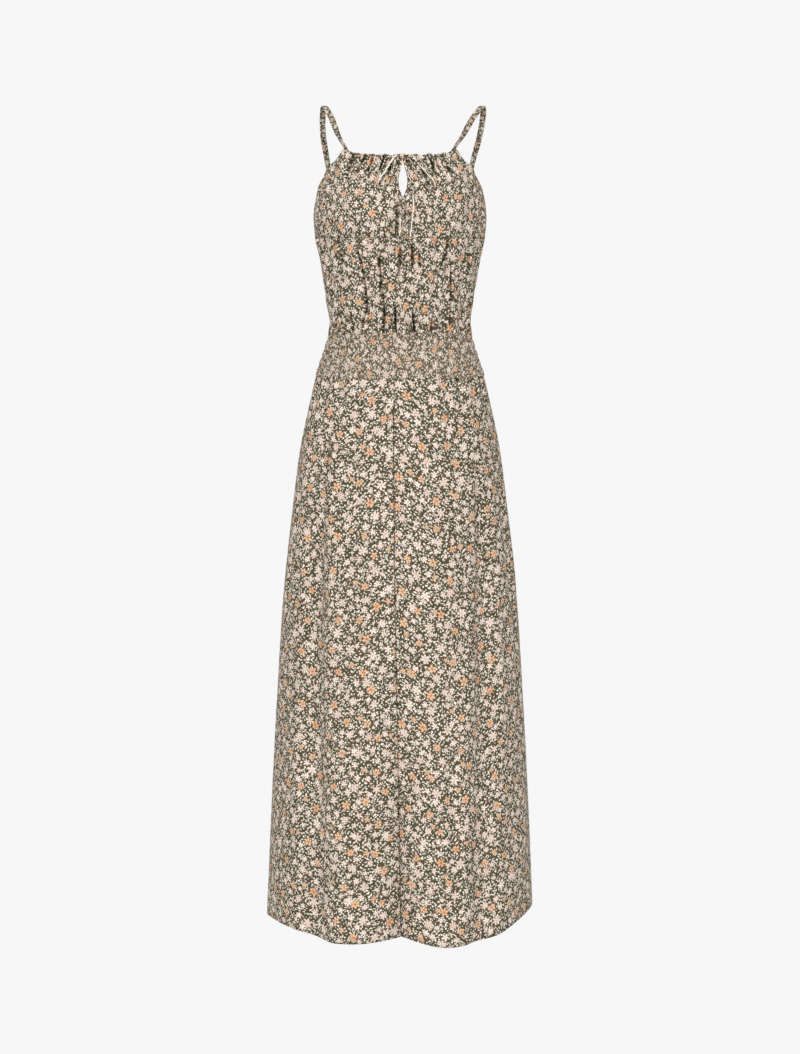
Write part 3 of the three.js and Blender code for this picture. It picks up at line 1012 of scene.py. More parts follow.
class Leaf(NamedTuple):
    """A kind of small leaf in the print, in millimetres of flat cloth.

    Attributes:
        cell: The size of the cells that hold one each.
        jitter: How far it strays in its cell.
        length: Half its length.
        width: Half its width.
        share: The share of the cells that hold one.
        colour: Its colour.
        tint: A second colour of it.
    """

    cell: float
    jitter: float
    length: float
    width: float
    share: float
    colour: Colour
    tint: Colour


CREAM = linear(235, 228, 216)
SHELL = linear(211, 200, 186)
LILAC = linear(201, 190, 184)
OLIVE = linear(64, 62, 45)
MOSS = linear(84, 79, 60)
BUD = linear(154, 104, 82)
SAND = linear(180, 148, 120)
PEACH = linear(218, 187, 156)
ORANGE = linear(208, 162, 122)
RUST = linear(170, 114, 76)
STRAW = linear(212, 186, 152)

BLOSSOM_CELL = 19.0
BLOSSOM_JITTER = 0.62
BLOSSOM_ROWS = 0.5
BLOSSOM_MARGIN = 1.2
RIM_SHARE = 0.7
LEAF_ROWS = 0.6
WANDER = 4.4
WANDER_SCALE = 0.28
TONE_SCALE = 0.12
SLUB_SCALE = 0.9
SLUB_STRETCH = (0.35, 2.0, 1.0)
CRUMPLE_SCALE = 0.045
THREADS_PER_MM = 2.4

BLOSSOMS = (
    Blossom(7.5, 5, 0.58, 2.4, 0.13, 0.28, PEACH, ORANGE, RUST, RUST),
    Blossom(8.6, 6, 0.54, 2.4, 0.17, 0.16, SHELL, CREAM, BUD, SAND),
    Blossom(5.2, 5, 0.5, 2.0, 0.06, 0.22, STRAW, PEACH, RUST, RUST),
    Blossom(6.0, 5, 0.46, 2.2, 0.41, 0.16, CREAM, SHELL, BUD, SAND),
    Blossom(4.8, 5, 0.4, 1.8, 0.23, 0.14, CREAM, LILAC, BUD, SAND),
)
LEAVES = (
    Leaf(5.4, 1.0, 1.6, 0.75, 0.6, BUD, MOSS),
    Leaf(5.0, 0.8, 1.4, 0.7, 0.4, CREAM, SHELL),
    Leaf(6.0, 0.7, 2.4, 1.1, 1.0, CREAM, SHELL),
)


class PaintedHighlight(NamedTuple):
    """A painted highlight: a pale line along a narrow tube, its middle and half width round the tube, and
    where it runs.
    """

    middle: float
    half: float
    start: float
    end: float

    def shown(self, graph: Graph, place: Wire) -> Wire:
        """1 on the line and 0 beside it, with soft edges and softer ends.

        Args:
            graph: The material's graph.
            place: The place on the tube, round it and along it.

        Returns:
            How much of the line shows.
        """
        across, along, _ = graph.parts(place)
        line = graph.soft_step(self.half - abs(across - self.middle), 0.4)
        from_middle = abs(along - (self.start + self.end) / 2)
        return line * graph.soft_step((self.end - self.start) / 2 - from_middle, 6.0)


@dataclass(frozen=True)
class PrintedCloth:
    """A thin plain-woven cloth with a small scattered flower print.

    Attributes:
        name: The finish's name.
        fade: How far the print fades: on the reverse of the cloth a real fading, and on the strap and the
            shirred waist a painted shade.
        faded: The colour that it fades to.
        scale: Size of the print, 1 as drawn.
        painted_highlight: A painted highlight, the pale line along a narrow tube, if it has one.
        roughness: The shader's roughness.
        gloss: The shader's specular level.
    """

    name: str
    fade: float = 0.0
    faded: Colour = linear(172, 165, 151)
    scale: float = 0.9
    painted_highlight: PaintedHighlight | None = None
    roughness: float = 0.86
    gloss: float = 0.05

    def material(self) -> Material:
        """Makes the finish: the print over a slightly uneven ground, with a fine weave and soft crumples.

        Returns:
            The material.
        """
        finish, graph, shader = new_finish(self.name)
        flat = graph.out(graph.add("ShaderNodeUVMap", uv_map="cloth"))
        place = graph.scaled(flat, 1.0 / (MM * self.scale))
        colour = self.worn(graph, self.printed(graph, place), place)
        graph.fill(shader, {"Base Color": colour, "Normal": self.woven(graph, place)})
        graph.fill(shader, {"Roughness": self.roughness, "Specular IOR Level": self.gloss})
        return finish

    def printed(self, graph: Graph, place: Wire) -> Wire:
        """Lays the print's layers: leaves first, and each kind of blossom keeps what is below it clear.

        Args:
            graph: The material's graph.
            place: The place on the flat cloth.

        Returns:
            The print's colour.
        """
        stray = graph.vector("SUBTRACT", graph.noise(place, WANDER_SCALE)["Color"], (0.5, 0.5, 0.5))
        drawn = graph.vector("ADD", place, graph.scaled(stray, WANDER))
        colour = graph.mixed(graph.noise(place, TONE_SCALE)["Fac"], OLIVE, MOSS)
        ends = np.cumsum([kind.share for kind in BLOSSOMS])
        rows = graph.turned(drawn, BLOSSOM_ROWS)
        blossoms = [self.blossom(graph, rows, kind, float(end)) for kind, end in zip(BLOSSOMS, ends)]
        free: Value = 1.0
        for _, clear, _ in blossoms:
            free = free - clear
        colour = graph.mixed((1.0 - free) * RIM_SHARE, colour, BUD)
        for number, kind in enumerate(LEAVES):
            rows = graph.turned(drawn, BLOSSOM_ROWS + LEAF_ROWS * (number + 1))
            form = (kind.cell, kind.jitter, kind.length, kind.width, kind.share)
            leaves = graph.group("scattered_leaves", rows, *form)
            leaf_colour = graph.mixed(leaves["Chance"], kind.colour, kind.tint)
            colour = graph.mixed(leaves["Leaf"] * free, colour, leaf_colour)
        for petal, _, blossom_colour in blossoms:
            colour = graph.mixed(petal, colour, blossom_colour)
        return colour

    @staticmethod
    def blossom(graph: Graph, place: Wire, kind: Blossom, end: float) -> tuple[Wire, Wire, Wire]:
        """Scatters one kind of blossom.

        Args:
            graph: The material's graph.
            place: The place on the flat cloth.
            kind: The blossom.
            end: Where its share of the scattered places ends, from 0 to 1.

        Returns:
            Where its petals are, where the print below is kept clear, and its colour.
        """
        form = (BLOSSOM_CELL, BLOSSOM_JITTER, kind.radius, kind.petals, kind.notch, kind.rounding)
        drawn = graph.group("scattered_blossoms", place, *form, end - kind.share, end)
        tint = abs(drawn["Ratio"] * -0.5 + drawn["Chance"]) * 0.9
        colour = graph.mixed(tint, kind.petal, kind.tint)
        colour = graph.mixed(drawn["Parting"], colour, kind.parting)
        heart = graph.soft_step(kind.heart - drawn["Ratio"], 0.08)
        return drawn["Petal"], drawn["Clear"], graph.mixed(heart, colour, kind.heart_colour)

    def worn(self, graph: Graph, colour: Wire, place: Wire) -> Wire:
        """Fades the print (on the strap and the shirred waist this is painted shade), lets slubs of the yarn
        lighten and darken it a little, and paints a pale highlight along a tube that has one.

        Args:
            graph: The material's graph.
            colour: The print's colour.
            place: The place on the flat cloth.

        Returns:
            The cloth's colour.
        """
        slubs = graph.noise(graph.vector("MULTIPLY", place, SLUB_STRETCH), SLUB_SCALE, detail=3.0)
        shaded = graph.scaled(colour, slubs["Fac"] * 0.24 + 0.88)
        # Painted highlight: a pale cream line along a narrow tube.
        if self.painted_highlight:
            shaded = graph.mixed(self.painted_highlight.shown(graph, graph.scaled(place, self.scale)), shaded, CREAM)
        return graph.mixed(self.fade, shaded, self.faded) if self.fade else shaded

    @staticmethod
    def woven(graph: Graph, place: Wire) -> Wire:
        """A plain weave's fine bumps over soft small crumples.

        Args:
            graph: The material's graph.
            place: The place on the flat cloth.

        Returns:
            The normal.
        """
        threads = graph.parts(graph.scaled(place, 2 * math.pi * THREADS_PER_MM))
        warp, weft = (graph.math("SINE", part) for part in threads[:2])
        crumple = graph.noise(place, CRUMPLE_SCALE, detail=4.0, roughness=0.55)["Fac"]
        bumps = {"Strength": 0.5, "Distance": 4.0 * MM, "Height": crumple}
        soft = graph.out(graph.fill(graph.add("ShaderNodeBump"), bumps))
        bumps = {"Strength": 0.2, "Distance": 0.06 * MM, "Height": warp * weft, "Normal": soft}
        return graph.out(graph.fill(graph.add("ShaderNodeBump"), bumps))


@dataclass(frozen=True)
class Thread:
    """Sewing thread in the ground's dark green, with a fine twist."""

    name: str = "sewing_thread"
    dark: Colour = linear(58, 58, 44)
    light: Colour = linear(112, 108, 88)
    twist_scale: float = 1800.0

    def material(self) -> Material:
        """Makes the finish: two greens in a fine stripe along the thread.

        Returns:
            The material.
        """
        finish, graph, shader = new_finish(self.name)
        spot = graph.out(graph.add("ShaderNodeTexCoord"), "Object")
        twist = graph.fill(graph.add("ShaderNodeTexNoise"), {"Vector": spot, "Scale": self.twist_scale})
        colour = graph.mixed(graph.out(twist, "Fac"), self.dark, self.light)
        graph.fill(shader, {"Base Color": colour, "Roughness": 0.7, "Sheen Weight": 0.2})
        return finish


@dataclass(frozen=True)
class Finishes:
    """The dress's materials, made once."""

    face: Material
    reverse: Material
    tie: Material
    strap: Material
    shirred: Material
    thread: Material

    @property
    def cloth(self) -> list[Material]:
        """The cloth's face and its reverse."""
        return [self.face, self.reverse]

    @staticmethod
    def make() -> "Finishes":
        """Makes the print's node groups and every finish."""
        blossom_group()
        leaf_group()
        return Finishes(
            face=PrintedCloth("printed_cloth_face").material(),
            reverse=PrintedCloth("printed_cloth_reverse", fade=0.45).material(),
            tie=PrintedCloth("printed_tie", scale=0.6).material(),
            # The strap's print is darkened toward the olive ground, a painted shade of the narrow band.
            strap=PrintedCloth("printed_strap", fade=0.15, faded=OLIVE, scale=0.7).material(),
            # The shirred waist's print is dulled and darkened toward a tan, a painted shade.
            shirred=PrintedCloth("printed_cloth_shirred", fade=0.2, faded=linear(140, 124, 106)).material(),
            thread=Thread().material(),
        )


def smooth_route(route: Array, count: int) -> Array:
    """Evenly spaced points on a smooth curve through a route's points.

    Each span is a cubic. Its slopes come from the points on both sides, weighted by the square roots of the
    distances between them, and the route's ends are continued in a straight line.

    Args:
        route: The points.
        count: How many points to give.

    Returns:
        The curve's points.
    """
    ends = np.concatenate([[2 * route[0] - route[1]], route, [2 * route[-1] - route[-2]]])
    p0, p1, p2, p3 = (ends[k : len(ends) - 3 + k, None, :] for k in range(4))
    roots = np.sqrt(np.linalg.norm(np.diff(ends, axis=0), axis=-1))
    d0, d1, d2 = (roots[k : len(roots) - 2 + k, None, None] for k in range(3))
    leave = d1 * ((p1 - p0) / d0 - (p2 - p0) / (d0 + d1) + (p2 - p1) / d1)
    arrive = d1 * ((p2 - p1) / d1 - (p3 - p1) / (d1 + d2) + (p3 - p2) / d2)
    t = np.linspace(0.0, 1.0, 24, endpoint=False)[None, :, None]
    bend = 3 * t * t - 2 * t**3
    spans = p1 + (p2 - p1) * bend + (t**3 - 2 * t * t + t) * leave + (t**3 - t * t) * arrive
    fine = np.concatenate([spans.reshape(-1, 3), route[-1:]])
    run = steps_along(fine, 0)
    even = np.linspace(0.0, run[-1], count)
    return np.stack([np.interp(even, run, fine[:, k]) for k in range(3)], axis=-1)


def unit(vectors: Array) -> Array:
    """Vectors made one long."""
    return vectors / np.linalg.norm(vectors, axis=-1, keepdims=True)


def carried_profile(
    name: str, path: Array, profile: Array, sideways: Array, finishes: Sequence[Material]
) -> bpy.types.Object:
    """A closed piece made by carrying a profile along a path, with a pole in the middle of each end.

    Args:
        name: The piece's name.
        path: The path's points.
        profile: The profile at each of them, as across and deep, anticlockwise.
        sideways: Which way is across at each point, before it is squared to the path.
        finishes: The piece's materials.

    Returns:
        The piece's object.
    """
    along = unit(np.gradient(path, axis=0))
    flat = unit(sideways - along * np.sum(sideways * along, axis=-1, keepdims=True))
    deep = np.cross(along, flat)
    body = path[:, None, :] + flat[:, None, :] * profile[..., :1] + deep[:, None, :] * profile[..., 1:]
    rows, columns = body.shape[:2]
    points = np.concatenate([body.reshape(-1, 3), path[:1], path[-1:]])
    quads = capped_faces(rows, columns)
    girth = np.linalg.norm(np.diff(body, axis=1, append=body[:, :1]), axis=-1).mean(axis=0)
    round_run = np.concatenate([[0.0], np.cumsum(girth)])
    path_run = steps_along(path, 0)
    corner_u = np.stack([round_run[:-1], round_run[1:], round_run[1:], round_run[:-1]], axis=-1)
    corner_v = np.stack([path_run[:-1], path_run[:-1], path_run[1:], path_run[1:]], axis=-1)
    side_uv = np.stack(np.broadcast_arrays(corner_u[None], corner_v[:, None]), axis=-1).reshape(-1, 4, 2)
    cap_u = np.stack([round_run[1:], round_run[:-1], round_run[:-1], round_run[:-1]], axis=-1)
    caps = [np.stack([cap_u, np.full_like(cap_u, run)], axis=-1) for run in (path_run[0], path_run[-1])]
    return make_mesh(name, points, quads, np.concatenate([side_uv, *caps]), finishes)


class Lamp(NamedTuple):
    """A broad soft light: its share of the light, and its tilt and turn in degrees."""

    name: str
    share: float
    tilt: float
    turn: float


@dataclass
class Studio:
    """The camera, soft light and pale floor, in metres and degrees."""

    camera_y: float = -4.2726
    camera_z: float = -0.2205
    camera_pitch: float = 83.53
    lens: float = 86.4
    sensor: float = 36.0
    floor_z: float = -4.0
    floor_reach: float = 60.0
    ambient: float = 0.45
    backdrop: float = 0.927
    sun_strength: float = 3.05
    sun_spread: float = 45.0
    lamps: Sequence[Lamp] = (Lamp("key", 0.6, 55.0, -26.0), Lamp("fill", 0.4, 60.0, 30.0))

    def build(self) -> None:
        """Sets the camera, the light and the floor."""
        self.place_camera()
        self.light()
        self.lay_floor()
        bpy.context.scene.view_settings.view_transform = "Standard"

    def place_camera(self) -> None:
        """Puts the camera in front of the dress, a little below the shoulders, looking slightly down."""
        lens = bpy.data.cameras.new("camera")
        lens.lens = self.lens
        lens.sensor_width = self.sensor
        camera = bpy.data.objects.new("camera", lens)
        camera.location = (0.0, self.camera_y, self.camera_z)
        camera.rotation_euler = (math.radians(self.camera_pitch), 0.0, 0.0)
        bpy.context.scene.collection.objects.link(camera)
        bpy.context.scene.camera = camera

    def light(self) -> None:
        """An even pale surround, and two broad soft lights from the front, the left one stronger."""
        world = bpy.data.worlds.new("surround")
        world.use_nodes = True
        graph = Graph(world.node_tree)
        sky = world.node_tree.nodes["Background"]
        seen = graph.out(graph.add("ShaderNodeLightPath"), "Is Camera Ray")
        strength = seen * (self.backdrop - self.ambient) + self.ambient
        graph.fill(sky, {"Color": (1.0, 1.0, 1.0, 1.0), "Strength": strength})
        bpy.context.scene.world = world
        for lamp in self.lamps:
            light = bpy.data.lights.new(lamp.name, "SUN")
            light.energy = self.sun_strength * lamp.share
            light.angle = math.radians(self.sun_spread)
            placed = bpy.data.objects.new(lamp.name, light)
            placed.rotation_euler = (math.radians(lamp.tilt), 0.0, math.radians(lamp.turn))
            bpy.context.scene.collection.objects.link(placed)

    def lay_floor(self) -> None:
        """A round pale floor, so far below the hem that no shadow shows, and as wide as the surround."""
        turn = np.linspace(0.0, 2 * np.pi, 64, endpoint=False)
        rim = np.stack([np.cos(turn), np.sin(turn), np.zeros_like(turn)], axis=-1) * self.floor_reach
        rim[:, 2] = self.floor_z
        mesh = bpy.data.meshes.new("floor")
        mesh.from_pydata(rim.tolist(), [], [list(range(len(rim)))])
        finish, graph, shader = new_finish("pale_floor")
        pale = linear(249, 249, 249)
        graph.fill(shader, {"Base Color": pale, "Roughness": 1.0, "Specular IOR Level": 0.0})
        mesh.materials.append(finish)
        floor = bpy.data.objects.new("floor", mesh)
        bpy.context.scene.collection.objects.link(floor)


NECK_GATHERS = Gathers(16, 2.6, 62)
EMPIRE_PUCKERS = Puckers(40, -86, 86, 1.4, 0.8, 22, 23)


class TiePoint(NamedTuple):
    """A place of the neck tie: its angle from the centre front seam, height, and lift off the ridges."""

    angle: float
    z: float
    lift: float = 2.8


class FarEnd(Enum):
    """Where the far end of a strand goes."""

    KNOT = "object"
    FREE = "bare"


class Strand(NamedTuple):
    """One strand of the bow: its node, length, stretch where its painted highlight shows, far end and places.
    """

    name: str
    length: float
    pale: tuple[float, float]
    far_end: FarEnd
    places: Sequence[TiePoint]


@dataclass
class NeckTie:
    """The drawstring's bow at the neck: a knot, two loops and two free tails."""

    finishes: Finishes
    diameter: float = 3.6
    sides: int = 14
    knot_size: tuple[float, float, float] = (6.0, 4.0, 5.0)
    knot_z: float = -84.0
    knot_clear: float = 0.4
    strands: Sequence[Strand] = (
        Strand(
            name="tie_loop_left",
            length=147.0,
            pale=(30.0, 70.0),
            far_end=FarEnd.KNOT,
            places=(
                TiePoint(2.9, -81.8),
                TiePoint(6.5, -86, 3),
                TiePoint(12, -99),
                TiePoint(18, -115),
                TiePoint(22, -126.5),
                TiePoint(21.6, -135),
                TiePoint(17.2, -135.5),
                TiePoint(12.2, -123),
                TiePoint(8, -106),
                TiePoint(5.6, -93, 3),
                TiePoint(2.9, -86.4),
            ),
        ),
        Strand(
            name="tie_loop_right",
            length=129.0,
            pale=(3.0, 56.0),
            far_end=FarEnd.KNOT,
            places=(
                TiePoint(-3.05, -81.8),
                TiePoint(-6.2, -86.5, 3),
                TiePoint(-10.2, -102),
                TiePoint(-14.6, -119),
                TiePoint(-16.8, -128),
                TiePoint(-15.2, -134.5),
                TiePoint(-11.2, -132),
                TiePoint(-8.8, -121),
                TiePoint(-6.9, -106),
                TiePoint(-5.3, -93.5, 3),
                TiePoint(-3.05, -86.4),
            ),
        ),
        Strand(
            name="tie_tail_left",
            length=130.0,
            pale=(62.0, 132.0),
            far_end=FarEnd.FREE,
            places=(
                TiePoint(1, -89),
                TiePoint(1.5, -99, 3),
                TiePoint(3.8, -115),
                TiePoint(6.1, -136),
                TiePoint(7.0, -160),
                TiePoint(6.1, -186),
                TiePoint(4.9, -214),
            ),
        ),
        Strand(
            name="tie_tail_right",
            length=128.0,
            pale=(100.0, 130.0),
            far_end=FarEnd.FREE,
            places=(
                TiePoint(-1, -89),
                TiePoint(-1.5, -99, 3),
                TiePoint(-3.4, -116),
                TiePoint(-3.9, -138),
                TiePoint(-2.6, -163),
                TiePoint(-1.6, -188),
                TiePoint(-1.9, -213),
            ),
        ),
    )
    # Where the painted highlight lies round the tube: its middle and half width.
    highlight_middle: float = 1.2
    highlight_half: float = 1.1

    def build(self) -> None:
        """Makes the loops, the tails and the knot."""
        for strand in self.strands:
            self.lay(strand)
        self.knot()

    def lay(self, strand: Strand) -> None:
        """Makes one strand of the bow as a round tube on the bodice's ridges.

        Args:
            strand: The strand.
        """
        angle, z, lift = (np.array(part, dtype=float) for part in zip(*strand.places))
        angle = angle + BODICE_SEAM
        ridge = NECK_GATHERS.depth * NECK_GATHERS.fade(top_edge(angle) - z)
        off = ridge + lift
        x, y = ring(angle, z)
        out_x, out_y = outward(angle, z)
        route = np.stack([x + out_x * off, y + out_y * off, z], axis=-1)
        path = smooth_route(route, 120)
        run = np.linspace(0.0, 1.0, len(path))[:, None]
        turn = np.linspace(0.0, 2 * np.pi, self.sides, endpoint=False)[None, :]
        crumpled = 1.0 + 0.05 * np.sin(2 * turn + 30 * run) + 0.04 * np.sin(3 * turn - 47 * run)
        radius = self.diameter / 2 * crumpled
        profile = np.stack([radius * np.cos(turn), radius * np.sin(turn)], axis=-1)
        front = np.tile([0.0, -1.0, 0.0], (len(path), 1))
        # A painted highlight: a pale line along the strand's tube.
        edge = PaintedHighlight(self.highlight_middle, self.highlight_half, *strand.pale)
        finish = PrintedCloth("printed_" + strand.name, painted_highlight=edge).material()
        piece = carried_profile(strand.name + "_cord", path, profile, front, [finish])
        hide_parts(strand.name)

    def knot(self) -> None:
        """Makes the knot: a round form with two bands of cord wrapped over it on the slant."""
        rows, columns = 40, 64
        fall = np.linspace(0.02, np.pi - 0.02, rows)[::-1, None]
        turn = np.linspace(0.0, 2 * np.pi, columns, endpoint=False)[None, :]
        wrap = 0.93 + 0.07 * np.abs(np.cos(1.5 * fall * 2 + 0.8 * np.sin(turn)))
        wide, deep, high = self.knot_size
        seam, z = np.array(BODICE_SEAM), np.array(self.knot_z)
        x, y = (float(part) for part in ring(seam, z))
        ridge = float(NECK_GATHERS.lift(seam) * NECK_GATHERS.fade(top_edge(seam) - z))
        middle = np.array([x, y - ridge - deep - self.knot_clear, self.knot_z])
        round_x, round_y = np.sin(fall) * np.cos(turn), np.sin(fall) * np.sin(turn)
        form = np.stack([wide * round_x * wrap, deep * round_y * wrap, high * np.cos(fall) * wrap], axis=-1)
        pole = np.array([0.0, 0.0, high])
        points = np.concatenate([(form + middle).reshape(-1, 3), [middle - pole, middle + pole]])
        quads = capped_faces(rows, columns)
        uv = np.stack([points[:, 0] - points[:, 1], points[:, 2] + 0.4 * points[:, 0]], axis=-1)
        piece = make_mesh("tie_knot_wrap", points, quads, uv, [self.finishes.tie])
        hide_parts("tie_knot")


@dataclass
class Bodice:
    """The top: two front halves under a gathered neckline with a keyhole, and the back."""

    finishes: Finishes
    keyhole_top: float = -90.0
    keyhole_bottom: float = -152.0
    keyhole_half_width: float = 6.8
    keyhole_spread: float = 26.0
    seam_groove_depth: float = 1.6
    seam_groove_width: float = 1.5
    scallop: float = 0.35
    strap_angle: float = 130.0
    strap_plain: float = 14.0
    back_droop: float = 3.6
    back_overhang: float = 2.4
    back_gathers: Gathers = Gathers(12, 2, 60)
    neck_puckers: Puckers = Puckers(40, -43, 43, 3.6, 0.75, 22, 11, 0.06)
    neck_folds: Puckers = Puckers(15, -42, 44, 3.0, 1.3, 52, 5, 0.07)
    back_puckers: Puckers = Puckers(40, 98, 262, 1.3, 0.8, 30, 31)
    back_waist_puckers: Puckers = Puckers(52, 96, 264, 1.7, 0.8, 55, 37)
    creases: Sequence[Crease] = (
        Crease(-24.0, -76, -34.5, -120, 1.1, 13.0),
        Crease(-36.0, -76, -40.8, -130, 1.2, 11.0),
        Crease(-18.5, -77, -24.0, -114, 1.0, 12.0),
        Crease(-11.0, -78, -13.8, -110, 1.0, 12.0),
        Crease(-6.4, -79, -5.4, -116, 0.9, 9.0),
        Crease(19.6, -77, 27.0, -118, 1.1, 14.0),
        Crease(7.4, -79, 8.8, -112, 1.0, 10.0),
        Crease(31.0, -75, 40.0, -122, 1.2, 12.0),
        Crease(25.6, -76, 29.6, -110, 1.0, 10.0),
        Crease(13.6, -104, 21.8, -142, 1.2, 8.0),
        Crease(3.7, -154, 3.3, -200, 1.1, 8.0),
        Crease(5.5, -168, 6.5, -222, 1.1, 7.0, Ends.BOTTOM),
        Crease(-1.5, -164, -2.6, -222, 1.1, 8.0, Ends.BOTTOM),
        Crease(-52, -96, -60, -178, 3.0, 2.2, Ends.TOP),
        Crease(55, -98, 64, -184, 3.0, 2.0, Ends.TOP),
        Crease(-70, -132, -74, -205, 2.4, 1.6, Ends.TOP),
        Crease(72, -136, 76, -210, 2.4, 1.6, Ends.TOP),
    )
    back_creases: Sequence[Crease] = (
        Crease(118, -196, 124, -300, 2.4, 2.2, Ends.TOP),
        Crease(146, -250, 142, -368, 2.0, 2.8, Ends.BOTTOM),
        Crease(165, -206, 168, -330, 2.2, 2.4),
        Crease(181, -270, 178, -370, 2.0, 3.0, Ends.BOTTOM),
        Crease(197, -198, 193, -290, 2.4, 2.2, Ends.TOP),
        Crease(216, -258, 219, -370, 2.0, 2.8, Ends.BOTTOM),
        Crease(240, -200, 236, -310, 2.4, 2.0, Ends.TOP),
    )

    def build(self) -> list[Panel]:
        """Makes the two front halves and the back.

        Returns:
            The panels.
        """
        fronts = [
            Panel(
                name="bodice_front_left" if left else "bodice_front_right",
                first=level(BODICE_SEAM if left else -SIDE),
                last=level(SIDE if left else BODICE_SEAM),
                bottom=level(EMPIRE_Z),
                top=self.neckline,
                lift=self.front_lift,
                sideways=self.keyhole_push(1.0 if left else -1.0),
                columns=290,
                rows=68,
                crowding=1.25,
                flat=(204.0, 146.0),
                share=0.78,
                held=Held.GATHERED,
                rests_on=["midriff_front", "bodice_back"],
                fullness=1.2,
                print_start=(400.0, 150.0) if left else (90.0, 170.0),
            )
            for left in (True, False)
        ]
        back = Panel(
            name="bodice_back",
            first=level(SIDE),
            last=level(TURN - SIDE),
            bottom=lambda angle: hanging_edge(WAIST_TOP_Z, self.back_droop, angle),
            top=back_edge,
            lift=self.back_lift,
            columns=230,
            rows=74,
            flat=(366.0, 186.0),
            share=0.97,
            held=Held.GATHERED,
            rests_on=["waistband_back", "bodice_front_left", "bodice_front_right"],
            fullness=1.12,
            print_start=(700.0, 420.0),
        )
        panels = [*fronts, back]
        for panel in panels:
            panel.build(self.finishes.cloth)
        return panels

    def neckline(self, angle: Array) -> Array:
        """The front's top edge, with small scallops between the neckline's gathers."""
        scallop = NECK_GATHERS.lift(angle) + self.neck_puckers.lift(angle, np.zeros_like(angle))
        return top_edge(angle) + self.scallop * scallop * self.at_neck(angle)

    @staticmethod
    def at_neck(angle: Array) -> Array:
        """1 along the gathered neckline, 0 beside it."""
        return ease(NECK_CORNER - 3, NECK_CORNER - 13, np.abs(angle))

    def front_lift(self, angle: Array, z: Array) -> Array:
        """The front's lift: neckline waves and furrows, the casing's roll, the seams' pull and creases.

        Args:
            angle: Angles on the ring.
            z: Heights.

        Returns:
            The lift.
        """
        below = top_edge(angle) - z
        neck = self.at_neck(angle)
        lift = neck * NECK_GATHERS.lift(angle) * NECK_GATHERS.fade(below)
        lift += neck * (self.neck_puckers.lift(angle, below) + self.neck_folds.lift(angle, below))
        lift += neck * CASING.lift(below) + (1.0 - neck) * ARMHOLE_BINDING.lift(below)
        seam = ease(self.keyhole_bottom + 12, self.keyhole_bottom - 6, z)
        lift -= seam * self.seam_groove_depth * crease(angle - BODICE_SEAM, self.seam_groove_width)
        inner = from_sides(angle, 10.0)
        lift += inner * creases_lift(self.creases, angle, z)
        lift += inner * unevenness(angle, z, depth=0.7, across=26, along=90, seed=41)
        above = z - EMPIRE_Z
        lift = ease(0.0, SEAM_EASE, above) * lift + inner * EMPIRE_PUCKERS.lift(angle, above)
        return lift - SEAM_DIP * crease(above, SEAM_EASE / 2)

    def back_lift(self, angle: Array, z: Array) -> Array:
        """The back's lift: waves and furrows at its top edge and at the waist, plain beside the straps.

        Args:
            angle: Angles on the ring.
            z: Heights.

        Returns:
            The lift.
        """
        below = back_edge(angle) - z
        above = z - WAIST_TOP_Z
        inner = from_sides(angle, 16.0)
        plain = 1.0 - trough(np.abs(signed(angle)) - self.strap_angle, self.strap_plain)
        fade = self.back_gathers.fade(below) + 0.8 * self.back_gathers.fade(above)
        lift = plain * (self.back_gathers.lift(angle) * fade + self.back_puckers.lift(angle, below))
        lift += self.back_waist_puckers.lift(angle, above) + creases_lift(self.back_creases, angle, z)
        lift += self.back_overhang * ease(12.0, 1.0, above)
        lift += unevenness(angle, z, depth=0.8, across=24, along=110, seed=43)
        return inner * lift + plain * BACK_HEM.lift(below)

    def keyhole_push(self, side: float) -> Field:
        """How far the keyhole pushes one front half from the centre.

        Args:
            side: 1 for the left half, -1 for the right.

        Returns:
            The push along X at each angle and height: half the keyhole's width there, fading sideways.
        """

        def push(angle: Array, z: Array) -> Array:
            """Half the keyhole's width, fading away from the centre."""
            up = np.clip((z - self.keyhole_bottom) / (self.keyhole_top - self.keyhole_bottom), 0.0, 1.0)
            half = self.keyhole_half_width * np.sin(np.pi * up**0.85) ** 1.3 + 0.6 * up
            return side * half * ease(self.keyhole_spread, 0.0, np.abs(angle - BODICE_SEAM))

        return push


class LongFold(NamedTuple):
    """A soft fold from seam to seam: its angles at the top and the foot, half width and depth."""

    top_angle: float
    foot_angle: float
    width: float
    depth: float


